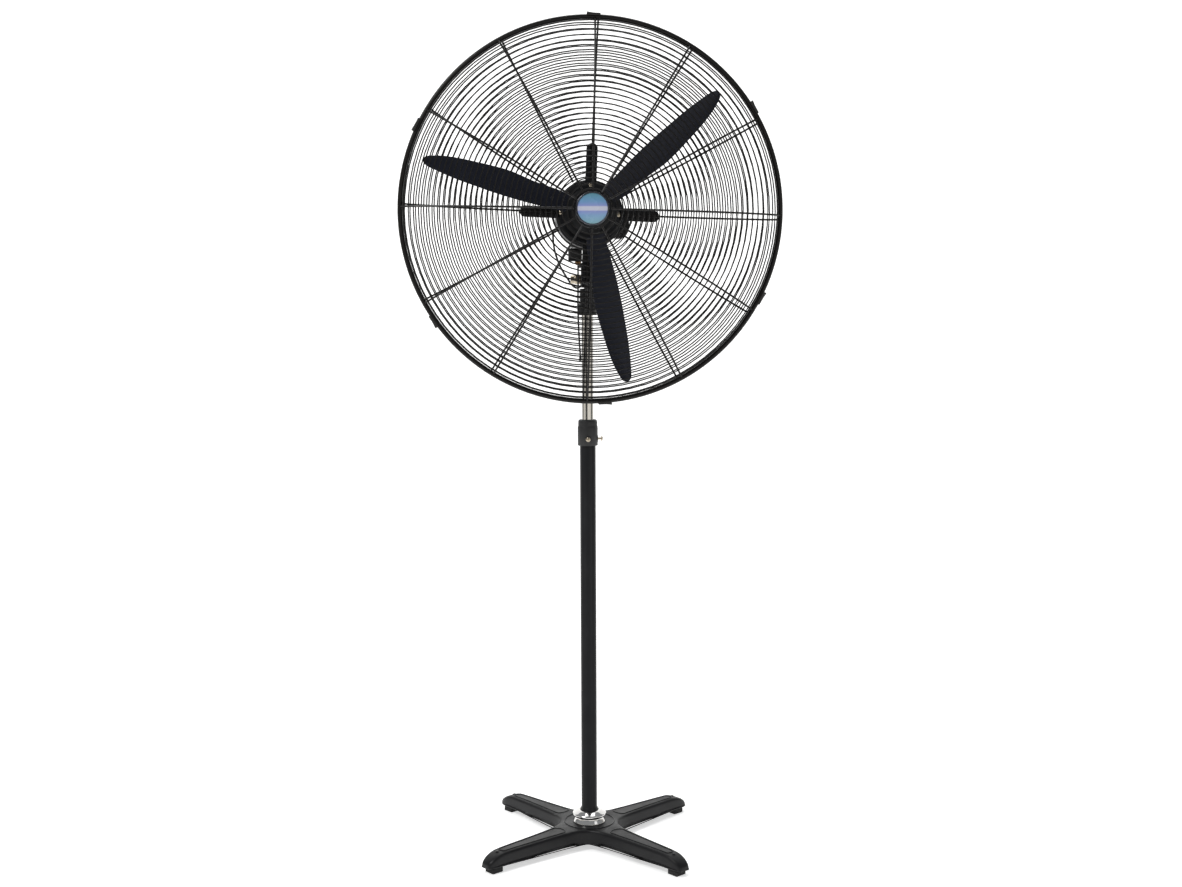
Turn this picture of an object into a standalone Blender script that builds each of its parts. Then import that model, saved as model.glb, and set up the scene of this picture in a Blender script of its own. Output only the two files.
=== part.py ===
"""Pedestal fan, 750 mm sweep: cross base, telescopic column, tilting and oscillating head.

Frame: +Z up, the fan blows towards -Y, +X is to the right of someone facing the fan.
The origin lies on the floor at the middle of the fan's outline.  Units are metres.
"""
import math

import bmesh
import bpy
from mathutils import Matrix, Vector

# ---------------------------------------------------------------- driving dimensions
COLUMN_Y = 0.03984           # column axis, behind the middle of the outline
GAP = 0.0003                 # clearance between pieces that touch
BASE_TURN = math.radians(-4.9)

LEG_REACH = 0.318
LEG_TOP = 0.046
LEG_BOTTOM = 0.0130
LEG_WALL = 0.005
HUB_RADIUS = 0.0665
HUB_TOP = 0.048
BOLT_HOLE = 0.0056
PAD_REACH = 0.292
PAD_SIZE = 0.030

COLUMN_RADIUS = 0.0185
COLUMN_WALL = 0.0015
COLUMN_TOP = 0.996
COLLAR_RADIUS = 0.0235
COLLAR_BOTTOM = 0.951
COLLAR_TOP = 1.012
COLLAR_SCREW_Z = 0.967
TUBE_RADIUS = 0.014
TUBE_WALL = 0.0015
TUBE_BOTTOM = 0.560
TUBE_TOP = 1.276

SOCKET_BOTTOM = 1.255
FLANGE_TOP = 1.281
TILT_Z = 1.338               # tilt bolt
HUB_Z = 1.477                # motor and blade axis

SHAFT_RADIUS = 0.005
MOTOR_RADIUS = 0.075
MOTOR_FRONT = -0.165
MOTOR_REAR = -0.052
SHIELD_DEPTH = 0.015
GEARBOX_HALF = 0.040
GEARBOX_BOTTOM = 1.410
GEARBOX_TOP = 1.514
GEARBOX_BACK = 0.045

GUARD_RADIUS = 0.4135        # outside of the rim
RIM_WIRE = 0.011
LATTICE_WIRE = 0.0034
FRONT_RIM_Y = -0.2500
REAR_RIM_Y = -0.2380
FRONT_HUB_Y = -0.3220
REAR_HUB_Y = -0.1730
SPOKES = 12
ARC_STEPS = 3                # ring corners between two spokes
FRONT_TURN = math.radians(-1.4)
REAR_TURN = math.radians(-2.5)
SPIDER_REACH = 0.1540        # ends of the four bars that carry the rear guard
SPIDER_HALF = 0.0125

BLADE_Y = -0.235
BLADE_PITCH = math.radians(24)
BLADE_ROOT = 0.050
BLADE_TIP = 0.375
BLADE_SHEET = 0.0018
BLADE_ANGLES = (42.4, 162.7, -78.0)
CLIP_ANGLES = (89, 32, -27, -86, -145.4, 153.8)

WORM_Y = -0.020              # worm wheel axis
WORM_X = 0.0205
CRANK_THROW = 0.011
LINK_PIN_Y = 0.020
CRANK_PIN_END = 1.3885
WORM_TEETH = 22

CORD_X = -0.0215             # pull cord, at the switch
CORD_Y = -0.0240
PULL_CORD_RADIUS = 0.0021
PULL_CORD_ROUTE = ((-0.0215, CORD_Y, 1.3695), (-0.0216, CORD_Y, 1.3300), (-0.0220, CORD_Y, 1.2950),
                   (-0.0220, CORD_Y, 1.2620), (-0.0208, CORD_Y, 1.2250), (-0.0192, CORD_Y, 1.1900),
                   (-0.0172, CORD_Y, 1.1610))
LEAD_RADIUS = 0.0023         # lead from the motor to the neck
LEAD_END_Z = 1.3345
LEAD_GLAND_TURN = math.radians(156.8)
LEAD_ROUTE = ((-0.0740, -0.1120, 1.4453), (-0.0775, -0.1115, 1.4436), (-0.0797, -0.1060, 1.4340),
              (-0.0790, -0.0960, 1.4180), (-0.0760, -0.0790, 1.4010), (-0.0705, -0.0610, 1.3840),
              (-0.0640, -0.0430, 1.3690), (-0.0560, -0.0240, 1.3550), (-0.0470, -0.0040, 1.3420),
              (-0.0380, 0.0130, 1.3300), (-0.0295, 0.0290, 1.3215), (-0.0210, 0.0420, 1.3190),
              (-0.0140, 0.0480, 1.3230), (-0.0110, 0.0460, 1.3310), (-0.0108, 0.0382, LEAD_END_Z))

# ---------------------------------------------------------------- scene and materials
for old in list(bpy.data.objects):
    bpy.data.objects.remove(old, do_unlink=True)

MATERIALS = {
    "cast_iron_black": ((0.030, 0.030, 0.032), 0.50, 0.0),
    "paint_black": ((0.022, 0.023, 0.026), 0.40, 0.0),
    "wire_black": ((0.020, 0.020, 0.022), 0.38, 0.0),
    "blade_black": ((0.045, 0.048, 0.055), 0.42, 0.0),
    "plastic_black": ((0.028, 0.028, 0.030), 0.55, 0.0),
    "rubber_black": ((0.020, 0.020, 0.020), 0.80, 0.0),
    "chrome": ((0.75, 0.75, 0.76), 0.12, 1.0),
    "zinc_steel": ((0.62, 0.61, 0.58), 0.30, 1.0),
    "steel": ((0.50, 0.50, 0.50), 0.35, 1.0),
    "brass": ((0.62, 0.42, 0.18), 0.30, 1.0),
    "copper_winding": ((0.45, 0.17, 0.06), 0.45, 1.0),
    "badge": ((0.62, 0.63, 0.65), 0.30, 1.0),
}


def material(name):
    """The named material, made once."""
    if name in bpy.data.materials:
        return bpy.data.materials[name]
    colour, roughness, metallic = MATERIALS[name]
    made = bpy.data.materials.new(name)
    made.use_nodes = True
    shader = made.node_tree.nodes["Principled BSDF"]
    shader.inputs["Base Color"].default_value = (*colour, 1.0)
    shader.inputs["Roughness"].default_value = roughness
    shader.inputs["Metallic"].default_value = metallic
    return made


def axis_empty(name, location, parent=None):
    """An empty on a joint's axis, which carries the pieces that turn with it."""
    empty = bpy.data.objects.new(name, None)
    empty.location = location
    empty.parent = parent
    bpy.context.collection.objects.link(empty)
    return empty


# ---------------------------------------------------------------- shape helpers
def finish(name, mesh_data, slot, parent, location=(0, 0, 0), rotation=(0, 0, 0), smooth=35):
    """Turn a bmesh into a named object with its faces pointing out."""
    bmesh.ops.recalc_face_normals(mesh_data, faces=mesh_data.faces)
    mesh = bpy.data.meshes.new(name)
    mesh_data.to_mesh(mesh)
    mesh_data.free()
    mesh.shade_smooth()
    mesh.set_sharp_from_angle(angle=math.radians(smooth))
    mesh.materials.append(material(slot))
    piece = bpy.data.objects.new(name, mesh)
    piece.parent = parent
    piece.location = location
    piece.rotation_euler = rotation
    bpy.context.collection.objects.link(piece)
    return piece


def turned(name, profile, slot, parent, axis="Z", steps=16, ring=False, **where):
    """Turn (radius, height) points about an axis; a ring's profile closes on itself."""
    shape = bmesh.new()

    def corner(radius, height, angle):
        flat = (radius * math.cos(angle), radius * math.sin(angle))
        if axis == "Z":
            return shape.verts.new((flat[0], flat[1], height))
        if axis == "Y":
            return shape.verts.new((flat[0], height, flat[1]))
        return shape.verts.new((height, flat[0], flat[1]))

    rows = []
    for radius, height in profile:
        if radius == 0:
            rows.append([corner(0, height, 0)] * steps)
        else:
            rows.append([corner(radius, height, 2 * math.pi * i / steps) for i in range(steps)])
    pairs = list(zip(rows, rows[1:]))
    if ring:
        pairs.append((rows[-1], rows[0]))
    for low, high in pairs:
        for i in range(steps):
            j = (i + 1) % steps
            loop = [low[i], low[j], high[j], high[i]]
            face = [v for n, v in enumerate(loop) if v not in loop[:n]]
            shape.faces.new(face)
    if not ring:
        for row in (rows[0], rows[-1]):
            if row[0] is not row[1]:
                shape.faces.new(row)
    return finish(name, shape, slot, parent, **where)


def tube(name, outer, inner, low, high, slot, parent, **how):
    """A plain pipe or bush."""
    profile = [(outer, low), (outer, high), (inner, high), (inner, low)]
    return turned(name, profile, slot, parent, ring=True, **how)


def lofted(name, sections, slot, parent, **where):
    """Join matching rings of points and close both ends."""
    shape = bmesh.new()
    rows = [[shape.verts.new(point) for point in section] for section in sections]
    count = len(rows[0])
    for low, high in zip(rows, rows[1:]):
        for i in range(count):
            j = (i + 1) % count
            shape.faces.new((low[i], low[j], high[j], high[i]))
    shape.faces.new(rows[0])
    shape.faces.new(rows[-1])
    return finish(name, shape, slot, parent, **where)


def rounded(half_x, half_y, corner, steps=3):
    """Outline of a rectangle with round corners."""
    points = []
    for quarter, (sx, sy) in enumerate(((1, 1), (-1, 1), (-1, -1), (1, -1))):
        for step in range(steps + 1):
            angle = (quarter + step / steps) * math.pi / 2
            points.append((sx * (half_x - corner) + corner * math.cos(angle),
                           sy * (half_y - corner) + corner * math.sin(angle)))
    return points


def block(name, outline, low, high, slot, parent, axis="Z", **where):
    """Extrude a flat outline from low to high along an axis."""
    def stand(point, height):
        if axis == "Z":
            return (point[0], point[1], height)
        if axis == "Y":
            return (point[0], height, point[1])
        return (height, point[0], point[1])

    sections = [[stand(p, low) for p in outline], [stand(p, high) for p in outline]]
    return lofted(name, sections, slot, parent, **where)


def combine(piece, tool, operation):
    """Add a Boolean and hide the shape it uses."""
    step = piece.modifiers.new(operation.lower() + "_" + tool.name, "BOOLEAN")
    step.operation = operation
    step.solver = "EXACT"
    step.object = tool
    tool.hide_render = True
    tool.display_type = "WIRE"


# ---------------------------------------------------------------- base
def leg_sections(shape, turn, inset):
    """Rings of points along one leg: a channel that narrows and dips at its rounded end."""
    # reach from the centre, half width, top height
    stations = ((0.070, 0.037, HUB_TOP), (0.100, 0.0295, LEG_TOP + 0.001), (0.200, 0.0235, LEG_TOP),
                (0.270, 0.0205, LEG_TOP - 0.001), (0.293, 0.0195, LEG_TOP - 0.006),
                (0.308, 0.0170, LEG_TOP - 0.014), (LEG_REACH, 0.0130, LEG_TOP - 0.023))
    rings = []
    for reach, half, top in stations:
        reach = min(reach, LEG_REACH - inset)
        half -= inset
        top -= inset
        soft = min(0.0075, 0.7 * half)
        side = [(half, LEG_BOTTOM), (half, top - soft), (half - 0.3 * soft, top - 0.3 * soft),
                (half - soft, top)]
        ring = [(-x, z) for x, z in side] + side[::-1]
        rings.append([shape.verts.new(Matrix.Rotation(turn, 3, "Z") @ Vector((reach, x, z)))
                      for x, z in ring])
        if inset and len(rings) == 1:
            first_reach = reach - 1.4 * inset
            for vert in rings[0]:
                flat = Matrix.Rotation(-turn, 3, "Z") @ vert.co
                vert.co = Matrix.Rotation(turn, 3, "Z") @ Vector((first_reach, flat.y, flat.z))
    return rings


def leg_fillet(shape, turn, inset):
    """Column of points in the hollow between this leg and the next."""
    turn += math.pi / 4
    reach = HUB_RADIUS - inset
    top = HUB_TOP - inset
    soft = 0.0075
    column = [(reach, LEG_BOTTOM), (reach, top - soft), (reach - 0.3 * soft, top - 0.3 * soft),
              (reach - soft, top)]
    return [shape.verts.new((r * math.cos(turn), r * math.sin(turn), z)) for r, z in column]


def make_base(stand):
    """One iron casting, hollow underneath, on four pads."""
    shape = bmesh.new()
    skins = []
    for inset in (0.0, LEG_WALL):
        turns = [math.radians(45 + 90 * number) + BASE_TURN for number in range(4)]
        legs = [leg_sections(shape, turn, inset) for turn in turns]
        fillets = [leg_fillet(shape, turn, inset) for turn in turns]
        skins.append((legs, fillets))
        middle = []
        for number, (leg, fillet) in enumerate(zip(legs, fillets)):
            for low, high in zip(leg, leg[1:]):
                for i in range(7):
                    shape.faces.new((low[i], low[i + 1], high[i + 1], high[i]))
            shape.faces.new(leg[-1])
            here = leg[0]
            after = legs[(number + 1) % 4][0]
            for i in range(3):
                shape.faces.new((here[7 - i], fillet[i], fillet[i + 1], here[6 - i]))
                shape.faces.new((fillet[i], after[i], after[i + 1], fillet[i + 1]))
            middle += [here[3], here[4], fillet[3]]
        shape.faces.new(middle)
    for number in range(4):
        (outer, outer_fillet), (inner, inner_fillet) = [(s[0][number], s[1][number]) for s in skins]
        for i in (0, 7):
            for a, b, c, d in zip(outer, outer[1:], inner[1:], inner):
                shape.faces.new((a[i], b[i], c[i], d[i]))
        shape.faces.new((outer[-1][0], outer[-1][7], inner[-1][7], inner[-1][0]))
        after_outer, after_inner = skins[0][0][(number + 1) % 4][0], skins[1][0][(number + 1) % 4][0]
        shape.faces.new((outer[0][7], outer_fillet[0], inner_fillet[0], inner[0][7]))
        shape.faces.new((outer_fillet[0], after_outer[0], after_inner[0], inner_fillet[0]))
    base = finish("base_cross", shape, "cast_iron_black", stand)
    bolt_hole = turned("base_bolt_cutter", [(0, 0.02), (0.0055, 0.02), (0.0055, 0.06), (0, 0.06)],
                       "cast_iron_black", stand, steps=16)
    combine(base, bolt_hole, "DIFFERENCE")

    for number in range(4):
        turn = math.radians(45 + 90 * number) + BASE_TURN
        place = (PAD_REACH * math.cos(turn), PAD_REACH * math.sin(turn), 0)
        half = PAD_SIZE / 2
        sole = rounded(half, half, 0.003, 2)
        neck = rounded(half - 0.001, half - 0.001, 0.003, 2)
        rings = [[(x, y, 0) for x, y in sole], [(x, y, 0.0095) for x, y in sole],
                 [(x, y, LEG_BOTTOM - GAP) for x, y in neck]]
        lofted("foot_pad_%d" % (number + 1), rings, "rubber_black", stand,
               location=place, rotation=(0, 0, turn))

    ceiling = HUB_TOP - LEG_WALL - GAP
    bolt = [(0, ceiling - 0.0085), (0.0085, ceiling - 0.0085), (0.0085, ceiling - 0.002),
            (0.0130, ceiling - 0.002), (0.0130, ceiling), (0.0051, ceiling), (0.0051, 0.056),
            (0, 0.056)]
    turned("column_bolt", bolt, "zinc_steel", stand, steps=12)


# ---------------------------------------------------------------- column
def make_column(stand, mast):
    """Outer tube with its chrome foot ring, the locking collar and the sliding inner tube."""
    floor = HUB_TOP + GAP
    flare = COLUMN_RADIUS + 0.0028
    sole = 0.006
    turned("outer_column", [(BOLT_HOLE, floor), (COLUMN_RADIUS, floor), (COLUMN_RADIUS, 0.0705),
                            (flare, 0.0710), (flare, 0.0775), (COLUMN_RADIUS + 0.0018, 0.0830),
                            (COLUMN_RADIUS, 0.0840), (COLUMN_RADIUS, COLUMN_TOP),
                            (COLUMN_RADIUS - COLUMN_WALL, COLUMN_TOP),
                            (COLUMN_RADIUS - COLUMN_WALL, floor + sole), (BOLT_HOLE, floor + sole)],
           "paint_black", stand, ring=True, steps=20)
    fit = COLUMN_RADIUS + GAP
    ring = [(fit + 0.0032, 0.0765), (0.028, 0.0760), (0.0385, 0.0700), (0.0400, 0.0670),
            (0.0390, 0.0640), (0.0345, 0.0605), (0.0340, 0.0560), (0.0365, 0.0500),
            (0.0390, 0.0493), (0.0390, HUB_TOP + GAP), (fit, HUB_TOP + GAP),
            (fit, 0.0690), (fit + 0.0032, 0.0700)]
    turned("column_flange_ring", ring, "chrome", stand, ring=True, steps=20)

    collar = turned("height_collar", [(fit, COLLAR_BOTTOM), (COLLAR_RADIUS - 0.001, COLLAR_BOTTOM),
                                      (COLLAR_RADIUS, COLLAR_BOTTOM + 0.002),
                                      (COLLAR_RADIUS, COLLAR_TOP - 0.016),
                                      (COLLAR_RADIUS - 0.0012, COLLAR_TOP - 0.015),
                                      (COLLAR_RADIUS - 0.0012, COLLAR_TOP - 0.004),
                                      (COLLAR_RADIUS - 0.0045, COLLAR_TOP),
                                      (TUBE_RADIUS + GAP, COLLAR_TOP),
                                      (TUBE_RADIUS + GAP, COLUMN_TOP + 0.001),
                                      (fit, COLUMN_TOP + 0.001)],
                    "plastic_black", stand, ring=True, steps=20)
    # two clamp screws: one faces the front, one the right-hand side
    for name, turn, stem in (("height_screw_front", 0.0, 0.0030), ("height_screw_side", 90.0, 0.0075)):
        seat = COLLAR_RADIUS + GAP
        hole = turned(name + "_cutter", [(0, -0.030), (0.0028, -0.030), (0.0028, -0.0192),
                                         (0, -0.0192)],
                      "plastic_black", stand, axis="Y", steps=12,
                      location=(0, 0, COLLAR_SCREW_Z), rotation=(0, 0, math.radians(turn)))
        combine(collar, hole, "DIFFERENCE")
        screw = [(0, -seat - stem - 0.0040), (0.0045, -seat - stem - 0.0040),
                 (0.0058, -seat - stem - 0.0020), (0.0058, -seat - stem), (0.0025, -seat - stem),
                 (0.0025, -0.0197), (0, -0.0197)]
        turned(name, screw, "zinc_steel", stand, axis="Y", steps=12,
               location=(0, 0, COLLAR_SCREW_Z), rotation=(0, 0, math.radians(turn)))

    tube("inner_tube", TUBE_RADIUS, TUBE_RADIUS - TUBE_WALL, TUBE_BOTTOM, TUBE_TOP, "chrome", mast,
         steps=20)
    tube("guide_bush", COLUMN_RADIUS - COLUMN_WALL - GAP, TUBE_RADIUS + GAP, TUBE_BOTTOM + 0.004,
         TUBE_BOTTOM + 0.034, "plastic_black", mast, steps=20)


# ---------------------------------------------------------------- tilting neck
def cheek_outline(radius, top, ear):
    """Side view of a fork cheek: round below the tilt bolt, with an ear at the back."""
    points = []
    for step in range(9):
        angle = math.pi + math.pi * step / 8
        points.append((radius * math.cos(angle), radius * math.sin(angle)))
    if ear:
        points += [(radius, -0.0095), (0.0300, -0.0095), (0.0300, 0.0050), (radius, 0.0120)]
    points += [(radius, top), (-radius, top)]
    return [(y, z + TILT_Z) for y, z in points]


def make_neck(mast, tilt):
    """Socket on the inner tube, and the forked casting that tilts on it."""
    fit = TUBE_RADIUS + GAP
    socket = turned("pole_socket", [(0, TUBE_TOP + 0.001), (fit, TUBE_TOP + 0.001),
                                    (fit, SOCKET_BOTTOM), (0.0214, SOCKET_BOTTOM),
                                    (0.0222, SOCKET_BOTTOM + 0.002), (0.0222, FLANGE_TOP - 0.002),
                                    (0.0205, FLANGE_TOP), (0.0178, FLANGE_TOP + 0.002),
                                    (0.0174, 1.3165), (0, 1.3165)],
                    "paint_black", mast, steps=20)
    tongue = block("tongue_guide", cheek_outline(0.0160, 0.0, False)[:9]
                   + [(0.0120, TILT_Z + 0.0110), (0, TILT_Z + 0.0160), (-0.0120, TILT_Z + 0.0110)],
                   -0.0070, 0.0070, "paint_black", mast, axis="X")
    root = block("tongue_root_guide", rounded(0.0070, 0.0150, 0.002, 2), 1.300, TILT_Z,
                 "paint_black", mast)
    combine(tongue, root, "UNION")
    combine(socket, tongue, "UNION")
    tilt_hole = turned("socket_bore_cutter", [(0, -0.03), (0.0043, -0.03), (0.0043, 0.03), (0, 0.03)],
                       "paint_black", mast, axis="X", steps=16, location=(0, 0, TILT_Z))
    combine(socket, tilt_hole, "DIFFERENCE")
    down = (0, 0, -TILT_Z)
    neck = turned("tilt_neck", [(0, 1.3640), (0.0190, 1.3640), (0.0210, 1.3660), (0.0210, 1.3720),
                                (0.0190, 1.3745), (0.0110, 1.3765), (0.0105, 1.4040), (0, 1.4040)],
                  "paint_black", tilt, steps=24, location=down)
    for side, ear in ((-1, True), (1, False)):
        low, high = sorted((side * 0.0074, side * 0.0142))
        cheek = block("cheek_guide_%d" % (side + 1), cheek_outline(0.0165, 0.0290, ear), low, high,
                      "paint_black", tilt, axis="X", location=down)
        combine(neck, cheek, "UNION")
    arm = block("switch_arm_guide", [(-0.0440, -0.0360), (-0.0120, -0.0360), (0.0040, -0.0080),
                                     (0.0040, 0.0060), (-0.0080, 0.0060), (-0.0440, -0.0140)],
                1.3790, 1.3822, "paint_black", tilt, location=down)
    combine(neck, arm, "UNION")
    link_arm = block("link_arm_guide", [(0.0000, 0.0060), (0.0060, -0.0060), (0.0330, 0.0150),
                                        (0.0330, 0.0290), (0.0180, 0.0290)],
                     1.3800, 1.3840, "paint_black", tilt, location=down)
    combine(neck, link_arm, "UNION")
    cuts = (("swing", 0.0083, 1.3700, 1.5, 0, 0), ("cord", 0.0024, 1.3700, 1.39, CORD_X, CORD_Y),
            ("link", 0.0027, 1.3700, 1.39, WORM_X, LINK_PIN_Y))
    for name, radius, low, high, x, y in cuts:
        hole = turned(name + "_bore_cutter", [(0, low), (radius, low), (radius, high), (0, high)],
                      "paint_black", tilt, steps=16, location=(x, y, -TILT_Z))
        combine(neck, hole, "DIFFERENCE")
    pivot = turned("neck_bore_cutter", [(0, -0.03), (0.0043, -0.03), (0.0043, 0.03), (0, 0.03)],
                   "paint_black", tilt, axis="X", steps=16)
    combine(neck, pivot, "DIFFERENCE")

    # tilt bolt with its round grip on the left, and the nut on the right
    bolt = [(0, -0.0385), (0.0080, -0.0385), (0.0100, -0.0375), (0.0100, -0.0290),
            (0.0115, -0.0275), (0.0115, -0.0160), (0.0105, -0.0145), (0.0040, -0.0145),
            (0.0040, 0.0260), (0, 0.0260)]
    turned("tilt_bolt", bolt, "zinc_steel", tilt, axis="X", steps=12)
    turned("tilt_nut", [(0.0046, 0.0145), (0.0085, 0.0145), (0.0085, 0.0205), (0.0070, 0.0215),
                        (0.0046, 0.0215)],
           "zinc_steel", tilt, axis="X", ring=True, steps=12)

    half_wide, half_deep, switch_x = 0.0157, 0.0110, -0.0283
    box = rounded(half_wide, half_deep, 0.0050, 3)
    rings = []
    for height, shrink in ((1.3825, 0.0), (1.4040, 0.0), (1.4070, 0.0012), (1.4085, 0.0040)):
        rings.append([(x * (1 - shrink / half_wide), y * (1 - shrink / half_deep), height)
                      for x, y in box])
    switch = lofted("pull_switch_body", rings, "plastic_black", tilt,
                    location=(switch_x, CORD_Y, -TILT_Z))
    pocket = turned("switch_bore_cutter", [(0, 1.37), (0.0024, 1.37), (0.0024, 1.395), (0, 1.395)],
                    "plastic_black", tilt, steps=16, location=(CORD_X, CORD_Y, -TILT_Z))
    combine(switch, pocket, "DIFFERENCE")
    tube("switch_nipple", 0.0056, 0.0024, 1.3700, 1.3787, "brass", tilt, steps=16,
         location=(CORD_X, CORD_Y, -TILT_Z))
    turned("switch_plunger", [(0, 1.3705), (0.0012, 1.3705), (0.0020, 1.3720), (0.0020, 1.3840),
                              (0, 1.3840)],
           "brass", tilt, steps=12, location=(CORD_X, CORD_Y, -TILT_Z))
    cord_tube("pull_cord", PULL_CORD_ROUTE, PULL_CORD_RADIUS, "plastic_black", tilt, down)
    bottom = PULL_CORD_ROUTE[-1]
    turned("pull_cord_end", [(0, -0.0113), (0.0022, -0.0113), (0.0034, -0.0095), (0.0034, -0.0040),
                             (0.0022, -0.0010), (0.0017, -GAP), (0, -GAP)],
           "plastic_black", tilt, steps=12, location=(bottom[0], bottom[1], bottom[2] - TILT_Z))

    turned("lead_gland_neck", [(0.0026, 0.0303), (0.0052, 0.0303), (0.0052, 0.0340),
                               (0.0040, 0.0378), (0.0026, 0.0378)],
           "rubber_black", tilt, axis="Y", ring=True, steps=12,
           location=(-0.0108, 0, LEAD_END_Z - TILT_Z))
    turned("mains_gland", [(0.0030, -0.0010), (0.0062, -0.0010), (0.0062, 0.0025), (0.0048, 0.0035),
                           (0.0040, 0.0160), (0.0030, 0.0160)],
           "rubber_black", tilt, axis="Y", ring=True, steps=12,
           location=(switch_x, CORD_Y + half_deep + 0.0015, 1.3915 - TILT_Z))


# ---------------------------------------------------------------- cords


def smooth_route(points, spacing):
    """Points a spacing apart on a smooth curve through the route's own points."""
    knots = [Vector(p) for p in points]
    ends = [knots[0] * 2 - knots[1]] + knots + [knots[-1] * 2 - knots[-2]]
    path = []
    for a, b, c, d in zip(ends, ends[1:], ends[2:], ends[3:]):
        steps = max(1, round((c - b).length / spacing))
        for step in range(steps):
            t = step / steps
            path.append(0.5 * (2 * b + (c - a) * t + (2 * a - 5 * b + 4 * c - d) * t * t
                               + (3 * b - a - 3 * c + d) * t ** 3))
    return path + [knots[-1]]


def cord_tube(name, route, radius, slot, parent, location):
    """A cord as a round tube along its route."""
    path = smooth_route(route, radius * 6)
    curve = bpy.data.curves.new(name, "CURVE")
    curve.dimensions = "3D"
    curve.bevel_depth = radius
    curve.bevel_resolution = 2
    curve.use_fill_caps = True
    spline = curve.splines.new("POLY")
    spline.points.add(len(path) - 1)
    for knot, point in zip(spline.points, path):
        knot.co = (*point, 1.0)
    curve.materials.append(material(slot))
    cord = bpy.data.objects.new(name, curve)
    cord.parent = parent
    cord.location = location
    bpy.context.collection.objects.link(cord)


# ---------------------------------------------------------------- motor and gearbox
def make_motor(head):
    """Motor along Y: shell, two end shields, bearings, stator, rotor core and shaft."""
    bore = 0.0113
    front, rear = MOTOR_FRONT, MOTOR_REAR
    inner_front, inner_rear = front + SHIELD_DEPTH, rear - 0.010
    turned("motor_front_shield",
           [(0.0160, front - 0.0030), (0.0250, front - 0.0030), (0.0280, front), (0.0690, front),
            (0.0735, front + 0.002), (MOTOR_RADIUS, front + 0.006), (MOTOR_RADIUS, inner_front),
            (0.0700, inner_front), (0.0700, front + 0.005), (0.0170, front + 0.005),
            (0.0170, inner_front), (bore, inner_front), (bore, front + 0.002), (0.0070, front + 0.002),
            (0.0070, front - 0.0030)],
           "paint_black", head, axis="Y", ring=True, steps=20)
    housing = tube("motor_housing", 0.0748, 0.0718, inner_front + GAP, inner_rear - GAP,
                   "paint_black", head, axis="Y", steps=20)
    gland = turned("lead_gland_guide", [(0, 0.0730), (0.0046, 0.0730), (0.0046, 0.0800),
                                        (0.0026, 0.0800), (0.0026, 0.0775), (0, 0.0775)],
                   "paint_black", head, axis="X", steps=12, location=(0, LEAD_ROUTE[0][1], 0),
                   rotation=(0, LEAD_GLAND_TURN, 0))
    combine(housing, gland, "UNION")
    turned("motor_rear_shield",
           [(bore, inner_rear), (0.0170, inner_rear), (0.0170, rear - 0.004), (0.0700, rear - 0.004),
            (0.0700, inner_rear), (MOTOR_RADIUS, inner_rear), (MOTOR_RADIUS, rear - 0.003),
            (0.0720, rear), (0.0070, rear), (0.0070, rear - 0.002), (bore, rear - 0.002)],
           "paint_black", head, axis="Y", ring=True, steps=20)
    for name, low in (("front_bearing", front + 0.0023), ("rear_bearing", rear - 0.0093)):
        tube(name, 0.0110, SHAFT_RADIUS + 0.0001, low, low + 0.0070, "steel", head, axis="Y", steps=20)
    turned("stator", [(0.0390, -0.142), (0.0560, -0.142), (0.0600, -0.136), (0.0600, -0.128),
                      (0.0708, -0.128), (0.0708, -0.092), (0.0600, -0.092), (0.0600, -0.084),
                      (0.0560, -0.078), (0.0390, -0.078)],
           "copper_winding", head, axis="Y", ring=True, steps=20)
    tube("rotor_core", 0.0382, SHAFT_RADIUS + GAP, -0.137, -0.083, "steel", head, axis="Y", steps=20)
    worm = []
    for turn in range(5):
        start = WORM_Y - 0.012 + turn * 0.0048
        worm += [(0.0045, start), (0.0060, start + 0.0012), (0.0060, start + 0.0024),
                 (0.0045, start + 0.0036)]
    turned("motor_shaft", [(0, -0.2540), (0.0040, -0.2540), (SHAFT_RADIUS, -0.2530),
                           (SHAFT_RADIUS, -0.036)] + worm + [(0.0045, 0.012), (0, 0.012)],
           "steel", head, axis="Y", steps=16)
    saddle = [(0.0758 * math.cos(a), 0.0758 * math.sin(a))
              for a in (math.radians(d) for d in (-42, -34, -26, -18, -9))]
    block("terminal_box", saddle + [(0.0850, -0.0125), (0.0885, -0.0160), (0.0880, -0.0360),
                                    (0.0820, -0.0460), (0.0700, -0.0520), (0.0620, -0.0530)],
          -0.150, -0.105, "plastic_black", head, axis="Y")


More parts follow.
